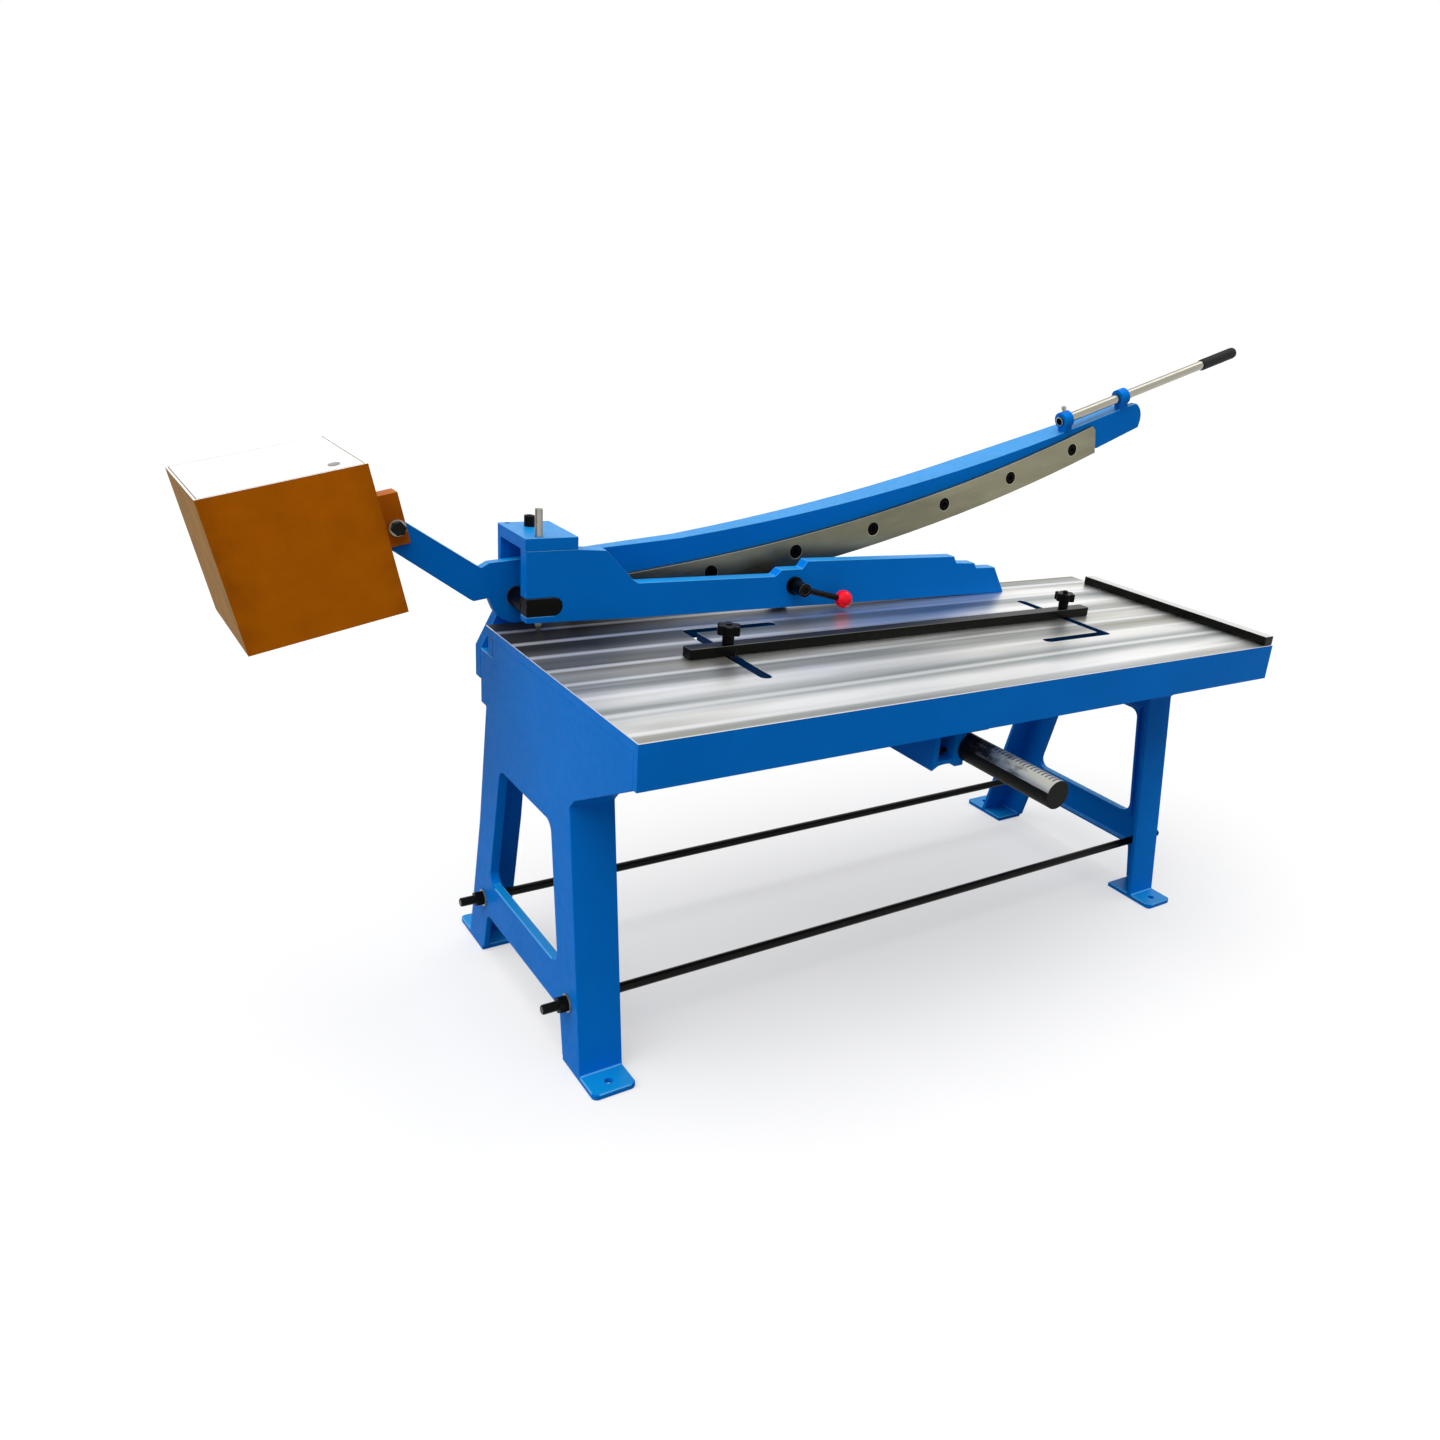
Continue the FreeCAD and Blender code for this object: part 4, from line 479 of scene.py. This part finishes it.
def rounded(node, how, width, finishes, choose=None, spare=None, segments=2):
    """Copy a CAD node and round its edges, as castings, plates and machined parts have them.

    choose gives a face the number of its finish, from its middle, its normal, and its outline's
    length if it is one of the narrow faces that round an edge, or else 0.
    spare says of an edge's middle that the edge stays sharp.
    """
    work = bmesh.new()
    work.from_mesh(NODES[node].data)
    for face in work.faces:
        face.material_index = 0
    bmesh.ops.remove_doubles(work, verts=work.verts, dist=WELD)
    bmesh.ops.dissolve_limit(
        work,
        angle_limit=FLAT,
        verts=work.verts,
        edges=work.edges,
        use_dissolve_boundaries=False,
    )
    work.normal_update()
    if width > 0:
        keen = []
        for edge in work.edges:
            if len(edge.link_faces) != 2 or edge.calc_face_angle(0) < KEEN:
                continue
            middle = (edge.verts[0].co + edge.verts[1].co) / 2
            if spare is None or not spare(middle):
                keen.append(edge)
        bmesh.ops.bevel(
            work,
            geom=keen,
            offset=width,
            offset_type="OFFSET",
            segments=segments,
            profile=0.5,
            affect="EDGES",
            clamp_overlap=False,
            miter_outer="ARC",
            material=-1,
        )
        work.normal_update()
    if choose is not None:
        for face in work.faces:
            # A strip's area is half its outline times its width.
            outline = face.calc_perimeter()
            slim = outline if face.calc_area() < outline * width * 0.6 else 0
            face.material_index = choose(face.calc_center_median(), face.normal, slim)
    stand_in(node, how, work, finishes)


def along(node, direction):
    """The ends of a round CAD node's axis along a direction, and its largest radius."""
    low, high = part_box(node)
    middle = (low + high) / 2
    arms = [v.co - middle for v in NODES[node].data.vertices]
    runs = [arm.dot(direction) for arm in arms]
    radius = max((arm - direction * run).length for arm, run in zip(arms, runs))
    return middle + direction * min(runs), middle + direction * max(runs), radius


def turned(node, how, start, direction, profile, finishes, sides, swell=None):
    """A turned piece: its profile, in metres along and out from its axis, spun round it.

    swell moves a point out by a length that depends on its angle and its run.
    """
    side = direction.orthogonal().normalized()
    up = direction.cross(side)
    work = bmesh.new()
    rings = []
    for run, radius in profile:
        centre = start + direction * run
        if radius <= 0:
            rings.append([work.verts.new(centre)])
            continue
        ring = []
        for i in range(sides):
            angle = 2 * math.pi * i / sides
            out = radius + (swell(angle, run) if swell else 0)
            spoke = side * math.cos(angle) + up * math.sin(angle)
            ring.append(work.verts.new(centre + spoke * out))
        rings.append(ring)
    for first, second in zip(rings, rings[1:]):
        for i in range(sides):
            j = (i + 1) % sides
            if len(first) == 1 and len(second) > 1:
                work.faces.new((first[0], second[j], second[i]))
            elif len(second) == 1 and len(first) > 1:
                work.faces.new((first[i], first[j], second[0]))
            elif len(first) > 1:
                work.faces.new((first[i], first[j], second[j], second[i]))
    bmesh.ops.recalc_face_normals(work, faces=work.faces)
    work.normal_update()
    stand_in(node, how, work, finishes)


def thread(first, last, radius, pitch):
    """Profile points of a screw thread, drawn as rings of its pitch."""
    root = radius * ROOT
    points = []
    count = int((last - first) / pitch)
    for i in range(count):
        run = first + pitch * i
        points += [(run + pitch * 0.1, root), (run + pitch * 0.5, radius)]
        points.append((run + pitch * 0.65, radius))
    points.append((first + pitch * count, root))
    return points


# Which faces of a piece get its second and third finish


# The blue enamel, its paler painted highlight on edges that look up, and its lighter painted
# highlight on broad faces on top.
BLUES = ["blue", "blue edge highlight", "blue top highlight"]


def all_edges(middle, normal, slim):
    """Every narrow face that rounds an edge is rubbed or honed."""
    return 1 if slim else 0


def bright_tops(middle, normal, slim):
    """Narrow faces that look up and out at an edge get a bright painted highlight."""
    return 1 if slim and 0.35 < normal.z < 0.95 else 0


def lit_edges(middle, normal, slim):
    """Edges that look up get a paler blue as a painted highlight, though not the short ones round
    holes.
    """
    return 1 if slim > RIM and 0.3 < normal.z < 0.96 else 0


def lit_tops(middle, normal, slim):
    """Broad faces on top get a glossier, lighter blue as painted highlight, and their edges the
    paler one.
    """
    return 2 if not slim and normal.z > 0.8 else lit_edges(middle, normal, slim)


# Sizes and colours


def size_of(name, description, millimetres):
    """A length that a user may change."""
    default = millimetres * MM
    return FloatProperty(name=name, description=description, default=default, unit="LENGTH")


def colour_of(name, description, code):
    """A colour that a user may change."""
    return FloatVectorProperty(
        name=name,
        description=description,
        subtype="COLOR",
        size=3,
        min=0,
        max=1,
        default=linear(code),
    )


class ShearSizes(bpy.types.PropertyGroup):
    """Sizes of the edges and patterns that a user would change."""

    cast_edge: size_of("Cast edge", "Rounding of the painted castings' edges", 2.2)
    plate_edge: size_of("Plate edge", "Rounding of cut and machined edges", 1.2)
    small_edge: size_of("Small edge", "Rounding of nuts, washers and small parts", 0.6)
    knob_edge: size_of("Knob edge", "Rounding of the star knobs' lobes", 1.8)
    planing_band: size_of("Planing band", "Width of the bands on the table", 95)
    rod_pitch: size_of("Rod thread", "Pitch of the tie rods' threads", 2.5)
    scale_step: size_of("Scale step", "Distance between the lines of the gauge's scale", 10)
    grip_ridge: size_of("Grip ridge", "Height of the ridges on the grip", 0.6)


class ShearColours(bpy.types.PropertyGroup):
    """Colours of the finishes."""

    blue: colour_of("Machine blue", "Enamel of the frame, table sides and arm", "#007BE0")
    # A lighter blue for broad faces on top: a painted highlight.
    blue_top_highlight: colour_of("Machine blue, top highlight", "Enamel of faces on top, glossy, lighter as a painted highlight", "#0A90DC")
    orange: colour_of("Box orange", "Enamel of the counterweight box", "#CF6E00")
    lid: colour_of("Lid white", "Enamel of the counterweight's lid", "#F4F3EF")
    table_dark: colour_of("Table, dark", "Dark bands of the planed table", "#9EA4A4")
    table_light: colour_of("Table, light", "Light bands of the planed table", "#FEFEFC")
    blade: colour_of("Blade", "Ground steel of the blades", "#86836E")
    black: colour_of("Black steel", "Oxide-black rods, fence and fasteners", "#1B1C1A")
    plating: colour_of("Plating", "Plated tube of the handle", "#A9A699")
    ball: colour_of("Ball red", "Ball of the cam lever", "#FC0026")


# Steps


class SHEAR_OT_side_frames(bpy.types.Operator):
    """Dress the two side frames and the upright in blue enamel"""

    bl_idname = "shear.side_frames"
    bl_label = "Side frames"

    def execute(self, context):
        sizes = context.scene.shear_sizes
        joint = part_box("table_plate")[0].z - 10 * MM

        def choose(middle, normal, slim):
            """The joint under the table is filled and painted over, so its edges get no painted
            highlight.
            """
            return 0 if slim and middle.z > joint else lit_tops(middle, normal, slim)

        for node in ("left_leg_casting", "right_leg_casting"):
            rounded(node, "enamelled", sizes.cast_edge, BLUES, choose)
        rounded("pivot_upright", "enamelled", sizes.plate_edge, BLUES[:2], lit_edges)
        return {"FINISHED"}


class SHEAR_OT_table(bpy.types.Operator):
    """Dress the table: planed top, rubbed edges and blue sides"""

    bl_idname = "shear.table"
    bl_label = "Table"

    def execute(self, context):
        edge = context.scene.shear_sizes.plate_edge
        low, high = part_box("table_plate")

        def choose(middle, normal, slim):
            """The top is planed, its edge is rubbed, and the slots' walls are darkened as painted
            shade.
            """
            if middle.z > high.z - 0.1 * MM:
                return 1
            if middle.z > high.z - edge * 1.05:
                return 2
            # The slots are clear of the plate's sides, and of the blade's rebate behind.
            beside = low.x + 10 * MM < middle.x < high.x - 10 * MM
            within = low.y + 10 * MM < middle.y < high.y - 30 * MM
            return 3 if beside and within and abs(normal.z) < 0.5 else 0

        def at_foot(middle):
            """The plate's lower edges meet the apron and the wall, and stay sharp."""
            return middle.z < low.z + 0.5 * MM

        def at_joint(middle):
            """So do the upper edges of the apron and the wall."""
            return middle.z > low.z - 30 * MM

        skins = ["blue", "table", "table edge", "blue painted shade in slots"]
        rounded("table_plate", "planed", edge, skins, choose, at_foot)
        for node in ("table_apron", "table_rear_wall"):
            rounded(node, "enamelled", edge, ["blue"], spare=at_joint)
        rounded("table_ribs", "enamelled", 0, ["blue"])

        def upward(middle, normal, slim):
            """The bar's top is rubbed bright by the sheets that slide over it."""
            return 1 if normal.z > 0.6 else 0

        rounded("squaring_bar", "blackened", edge * 2, ["black gloss", "table edge"], upward)
        return {"FINISHED"}


class SHEAR_OT_rods(bpy.types.Operator):
    """Turn the tie rods with threaded ends, and dress the nuts, washers and bolts"""

    bl_idname = "shear.rods"
    bl_label = "Tie rods and fasteners"

    def execute(self, context):
        sizes = context.scene.shear_sizes
        small = sizes.small_edge
        # The threaded length at each end of a rod, and the bevel that it starts with.
        stub = 58 * MM
        bevel = 1.5 * MM
        for node in ("front_tie_rod", "rear_tie_rod"):
            start, end, radius = along(node, RIGHT)
            length = (end - start).length
            profile = [(0, 0), (0, radius * 0.8), (bevel, radius * ROOT)]
            profile += thread(bevel, stub, radius, sizes.rod_pitch)
            profile += [(stub + 1 * MM, radius), (length - stub - 1 * MM, radius)]
            profile += thread(length - stub, length - bevel, radius, sizes.rod_pitch)
            profile += [(length, radius * 0.8), (length, 0)]
            turned(node, "blackened", start, RIGHT, profile, ["black gloss"], 48)
        rounded("tie_rod_nuts", "blackened", small, ["black"])
        rounded("tie_rod_washers", "plated", small, ["zinc"])
        for node in ("table_bolts", "squaring_bar_screws", "upright_bolts", "gauge_bracket_bolts"):
            rounded(node, "blackened", small, ["black"])
        return {"FINISHED"}


class SHEAR_OT_blades(bpy.types.Operator):
    """Dress the curved upper blade, the straight lower blade and their bolts"""

    bl_idname = "shear.blades"
    bl_label = "Blades"

    def execute(self, context):
        sizes = context.scene.shear_sizes
        keen_edge = sizes.plate_edge * 0.8
        small = sizes.small_edge / 2
        for node in ("upper_blade", "lower_blade"):
            rounded(node, "ground", keen_edge, ["blade", "blade edge"], all_edges)
        rounded("blade_bolts", "blackened", small, ["bolt head shade"])
        rounded("blade_nuts", "blackened", small, ["black"])
        rounded("lower_blade_screws", "blackened", small, ["black"])
        return {"FINISHED"}


class SHEAR_OT_arm(bpy.types.Operator):
    """Dress the arm, its bushing and the pivot shaft"""

    bl_idname = "shear.arm"
    bl_label = "Arm and pivot"

    def execute(self, context):
        sizes = context.scene.shear_sizes
        small = sizes.small_edge
        rounded("blade_arm", "enamelled", sizes.plate_edge, BLUES, lit_tops)
        rounded("pivot_bushing", "turned", 0, ["bronze"])
        rounded("pivot_shaft", "blackened", small, ["black", "wear_and_painted_light"], bright_tops)
        for node in ("pivot_washer", "pivot_nut"):
            rounded(node, "blackened", small, ["black"])
        return {"FINISHED"}


class SHEAR_OT_counterweight(bpy.types.Operator):
    """Dress the box, its white lid, its hanger and the ballast"""

    bl_idname = "shear.counterweight"
    bl_label = "Counterweight"

    def execute(self, context):
        sizes = context.scene.shear_sizes
        plate = sizes.plate_edge
        small = sizes.small_edge
        lowest_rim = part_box("box_lid")[0].z

        def box(middle, normal, slim):
            """The box's rim is white as its lid is, and its outer side is pale beige as a painted
            reflection.
            """
            if normal.dot(ARM_RISE) > 0.9 and middle.z > lowest_rim:
                return 1
            return 2 if normal.dot(ARM_RUN) < -0.9 else 0

        def lid(middle, normal, slim):
            """All but the lid's broad faces is its rubbed edge."""
            return 0 if abs(normal.dot(ARM_RISE)) > 0.99 else 1

        rounded("counterweight_box", "enamelled", small, ["orange", "white", "orange side reflection"], box)
        rounded("box_lid", "enamelled", plate, ["white", "lid edge"], lid)
        rounded("box_plug", "plated", small, ["zinc"])
        rounded("counterweight_ballast", "cast", plate, ["ballast"])
        rounded("counterweight_bracket", "enamelled", plate, ["orange"])
        rounded("counterweight_washers", "plated", small, ["zinc"])
        for node in ("counterweight_bolt", "counterweight_nut"):
            rounded(node, "blackened", small, ["black gloss"])
        return {"FINISHED"}


class SHEAR_OT_handle(bpy.types.Operator):
    """Dress the sliding handle: rings, plated tube, ribbed grip and set screw"""

    bl_idname = "shear.handle"
    bl_label = "Handle"

    def execute(self, context):
        sizes = context.scene.shear_sizes
        small = sizes.small_edge
        rounded("handle_rings", "enamelled", small, ["blue"])
        rounded("handle_tube", "plated", small, ["plated"])

        # The grip is a sleeve with a bevel at its open end and a round closed end.
        start, end, radius = along("handle_grip", HANDLE_RUN)
        length = (end - start).length
        ridge = sizes.grip_ridge
        body = radius - ridge
        bore = along("handle_tube", HANDLE_RUN)[2] + 0.1 * MM
        bevel = 1 * MM
        rounding = radius * 0.55
        straight = length - rounding
        profile = [(0, bore), (0, body - bevel), (bevel, body)]
        steps = int(straight / (1.2 * MM))
        profile += [(bevel + (straight - bevel) * i / steps, body) for i in range(1, steps + 1)]
        turns = 8
        for i in range(1, turns + 1):
            turn = math.pi / 2 * i / turns
            run = straight + rounding * math.sin(turn)
            profile.append((run, body - rounding * (1 - math.cos(turn))))
        profile.append((length, 0))

        # Two sets of 14 ridges wind round the grip both ways, 7 mm apart along it.
        around, forward = 14, 900

        def diamonds(angle, run):
            """How far the ridges raise the grip there."""
            if run < 4 * MM or run > straight - 2 * MM:
                return 0
            first = math.sin(angle * around + run * forward)
            second = math.sin(angle * around - run * forward)
            return ridge * max(0, max(first, second))

        turned("handle_grip", "ribbed", start, HANDLE_RUN, profile, ["rubber"], 112, diamonds)
        rounded("handle_set_screw", "plated", small, ["zinc"])
        return {"FINISHED"}


class SHEAR_OT_hold_down(bpy.types.Operator):
    """Dress the hold-down beam, the cap and its screws"""

    bl_idname = "shear.hold_down"
    bl_label = "Hold-down"

    def execute(self, context):
        sizes = context.scene.shear_sizes
        small = sizes.small_edge
        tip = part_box("adjusting_screw")[0].z + 20 * MM

        def bare_tip(middle, normal, slim):
            """The lowest 20 mm, which stand on the table, are bare turned steel."""
            return 1 if middle.z < tip else 0

        for node in ("hold_down_beam", "cap_bracket"):
            rounded(node, "enamelled", sizes.plate_edge, BLUES, lit_tops)
        rounded("cap_stop_screw", "blackened", small, ["black"])
        rounded("adjusting_screw", "plated", small, ["zinc", "pale tip"], bare_tip)
        return {"FINISHED"}


class SHEAR_OT_cam_lever(bpy.types.Operator):
    """Dress the cam shaft, its hub and lever, and the red ball"""

    bl_idname = "shear.cam_lever"
    bl_label = "Cam lever"

    def execute(self, context):
        small = context.scene.shear_sizes.small_edge
        for node in ("cam_shaft", "cam_washer", "cam_lever_rod"):
            rounded(node, "blackened", small, ["black gloss"])
        rounded("cam_hub", "blackened", small, ["black gloss", "wear_and_painted_light"], all_edges)
        rounded("ball_knob", "moulded", 0, ["red"])
        return {"FINISHED"}


class SHEAR_OT_fence(bpy.types.Operator):
    """Dress the fence bar, its bolts and the two star knobs"""

    bl_idname = "shear.fence"
    bl_label = "Fence"

    def execute(self, context):
        sizes = context.scene.shear_sizes
        rounded("fence_bar", "blackened", sizes.plate_edge, ["black gloss", "wear_and_painted_light"], bright_tops)
        rounded("fence_bolts", "blackened", sizes.small_edge, ["black"])
        for node in ("left_star_knob", "right_star_knob"):
            rounded(node, "moulded", sizes.knob_edge, ["knob"], segments=3)
        return {"FINISHED"}


class SHEAR_OT_strip_gauge(bpy.types.Operator):
    """Dress the gauge bar with its scale, its bracket, screw and stop"""

    bl_idname = "shear.strip_gauge"
    bl_label = "Strip gauge"

    def execute(self, context):
        sizes = context.scene.shear_sizes
        small = sizes.small_edge
        low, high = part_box("gauge_bar")
        axis = (low + high) / 2

        def scale(middle, normal, slim):
            """The scale covers the bar's upper left, between two angles seen from the front."""
            angle = math.degrees(math.atan2(middle.z - axis.z, middle.x - axis.x))
            return 1 if abs(normal.y) < 0.5 and 58 < angle < 160 else 0

        rounded("gauge_bar", "blackened", small, ["black", "scale"], scale)
        rounded("gauge_bracket", "enamelled", sizes.plate_edge, ["blue"])
        rounded("gauge_stop", "blackened", small, ["black"])
        rounded("gauge_clamp_screw", "blackened", small, ["black"])
        return {"FINISHED"}


def seen_directly(tree):
    """1 for camera, glossy and transmission rays, which see the pale background."""
    seen = 0.0
    for name in ("Is Camera Ray", "Is Glossy Ray", "Is Transmission Ray"):
        ray = add(tree, "ShaderNodeLightPath", out=name)
        seen = add(tree, "ShaderNodeMath", {0: ray, 1: seen}, operation="MAXIMUM")
    return seen


def floor_finish(name):
    """A pale painted floor. It gives the eye white, and throws back a greyer light."""
    material, where = begin(name)
    tree = material.node_tree
    seen = seen_directly(tree)
    mix = {SHARE: seen, FIRST: linear("#7C7C7C"), SECOND: linear("#FBFBFB")}
    tone = add(tree, "ShaderNodeMix", mix, MIXED, data_type="RGBA")
    dust = Layer(400, linear("#F4F4F4"), 0.1)
    close(material, where, (dust,), tone, 0.9, **{"Specular IOR Level": 0})
    # Half of what is seen is its own glow, so that the floor is white and keeps its shadow.
    paint = tree.nodes["Principled BSDF"].outputs["BSDF"]
    glow = add(tree, "ShaderNodeEmission", {"Color": (1, 1, 1), "Strength": 1.0})
    half = add(tree, "ShaderNodeMath", {0: seen, 1: 0.5}, operation="MULTIPLY")
    mixed = add(tree, "ShaderNodeMixShader", {0: half, 1: paint, 2: glow})
    tree.links.new(mixed, tree.nodes["Material Output"].inputs["Surface"])
    return material


class SHEAR_OT_studio(bpy.types.Operator):
    """Set up the pale floor, the soft light and the camera"""

    bl_idname = "shear.studio"
    bl_label = "Studio"

    def execute(self, context):
        scene = context.scene
        scene.view_settings.view_transform = "Standard"

        floor_mesh = bpy.data.meshes.new("studio_floor")
        far = 60
        corners = [(-far, -far, 0), (far, -far, 0), (far, far, 0), (-far, far, 0)]
        floor_mesh.from_pydata(corners, [], [(0, 1, 2, 3)])
        floor_mesh.materials.append(floor_finish("pale_painted_floor"))
        floor = bpy.data.objects.new("studio_floor", floor_mesh)
        # The floor lies just under the feet, so that their soles don't flicker.
        floor.location.z = -0.5 * MM
        scene.collection.objects.link(floor)

        # The room is white where it is seen, and lights the machine with a quarter of that.
        world = bpy.data.worlds.new("studio")
        scene.world = world
        world.use_nodes = True
        tree = world.node_tree
        background = tree.nodes["Background"]
        background.inputs["Color"].default_value = (1, 1, 1, 1)
        ramp = {"Value": seen_directly(tree), "To Min": 0.25, "To Max": 1.0}
        strength = add(tree, "ShaderNodeMapRange", ramp)
        tree.links.new(strength, background.inputs["Strength"])

        # Each lamp's power, how wide it is in the sky, and how it is tilted, in degrees.
        for name, power, spread, tilt in (
            ("overhead_light", 2.6, 70, (8, -22, 0)),
            ("left_light", 0.35, 60, (0, -70, 0)),
            ("right_light", 0.4, 30, (0, 30, 0)),
        ):
            lamp = bpy.data.lights.new(name, "SUN")
            lamp.energy = power
            lamp.angle = math.radians(spread)
            lamp_object = bpy.data.objects.new(name, lamp)
            lamp_object.rotation_euler = [math.radians(a) for a in tilt]
            scene.collection.objects.link(lamp_object)
            # Planed steel shows the pale room, not this lamp, which would clip it to white.
            lamp_object.visible_glossy = name != "overhead_light"

        # Solved from the corners of the table, the feet and the blade in the photograph.
        camera = bpy.data.cameras.new("photo_camera")
        camera.lens = 28.82
        camera.sensor_width = 36
        camera.shift_x = -0.0974
        camera.shift_y = 0.0041
        camera.clip_end = 200
        camera_object = bpy.data.objects.new("photo_camera", camera)
        camera_object.location = (-1.6328, -2.0187, 1.4866)
        camera_object.rotation_euler = [math.radians(a) for a in (69.2246, -5.9644, -36.5650)]
        scene.collection.objects.link(camera_object)
        scene.camera = camera_object
        return {"FINISHED"}


OPERATORS = (
    SHEAR_OT_side_frames,
    SHEAR_OT_table,
    SHEAR_OT_rods,
    SHEAR_OT_blades,
    SHEAR_OT_arm,
    SHEAR_OT_counterweight,
    SHEAR_OT_handle,
    SHEAR_OT_hold_down,
    SHEAR_OT_cam_lever,
    SHEAR_OT_fence,
    SHEAR_OT_strip_gauge,
    SHEAR_OT_studio,
)


class SHEAR_PT_panel(bpy.types.Panel):
    """The shear's sizes, colours and steps"""

    bl_idname = "SHEAR_PT_panel"
    bl_label = "Bench shear"
    bl_space_type = "VIEW_3D"
    bl_region_type = "UI"
    bl_category = "Bench Shear"

    def draw(self, context):
        layout = self.layout
        for group in (context.scene.shear_sizes, context.scene.shear_colours):
            column = layout.column(align=True)
            for name in group.__annotations__:
                column.prop(group, name)
        for operator in OPERATORS:
            layout.operator(operator.bl_idname)


CLASSES = (ShearSizes, ShearColours, *OPERATORS, SHEAR_PT_panel)


def register():
    for each in CLASSES:
        bpy.utils.register_class(each)
    bpy.types.Scene.shear_sizes = PointerProperty(type=ShearSizes)
    bpy.types.Scene.shear_colours = PointerProperty(type=ShearColours)


def unregister():
    del bpy.types.Scene.shear_colours
    del bpy.types.Scene.shear_sizes
    for each in reversed(CLASSES):
        bpy.utils.unregister_class(each)


def main():
    """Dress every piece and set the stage."""
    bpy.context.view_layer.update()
    register()
    for operator in OPERATORS:
        group, name = operator.bl_idname.split(".")
        getattr(getattr(bpy.ops, group), name)()


if __name__ == "__main__":
    main()
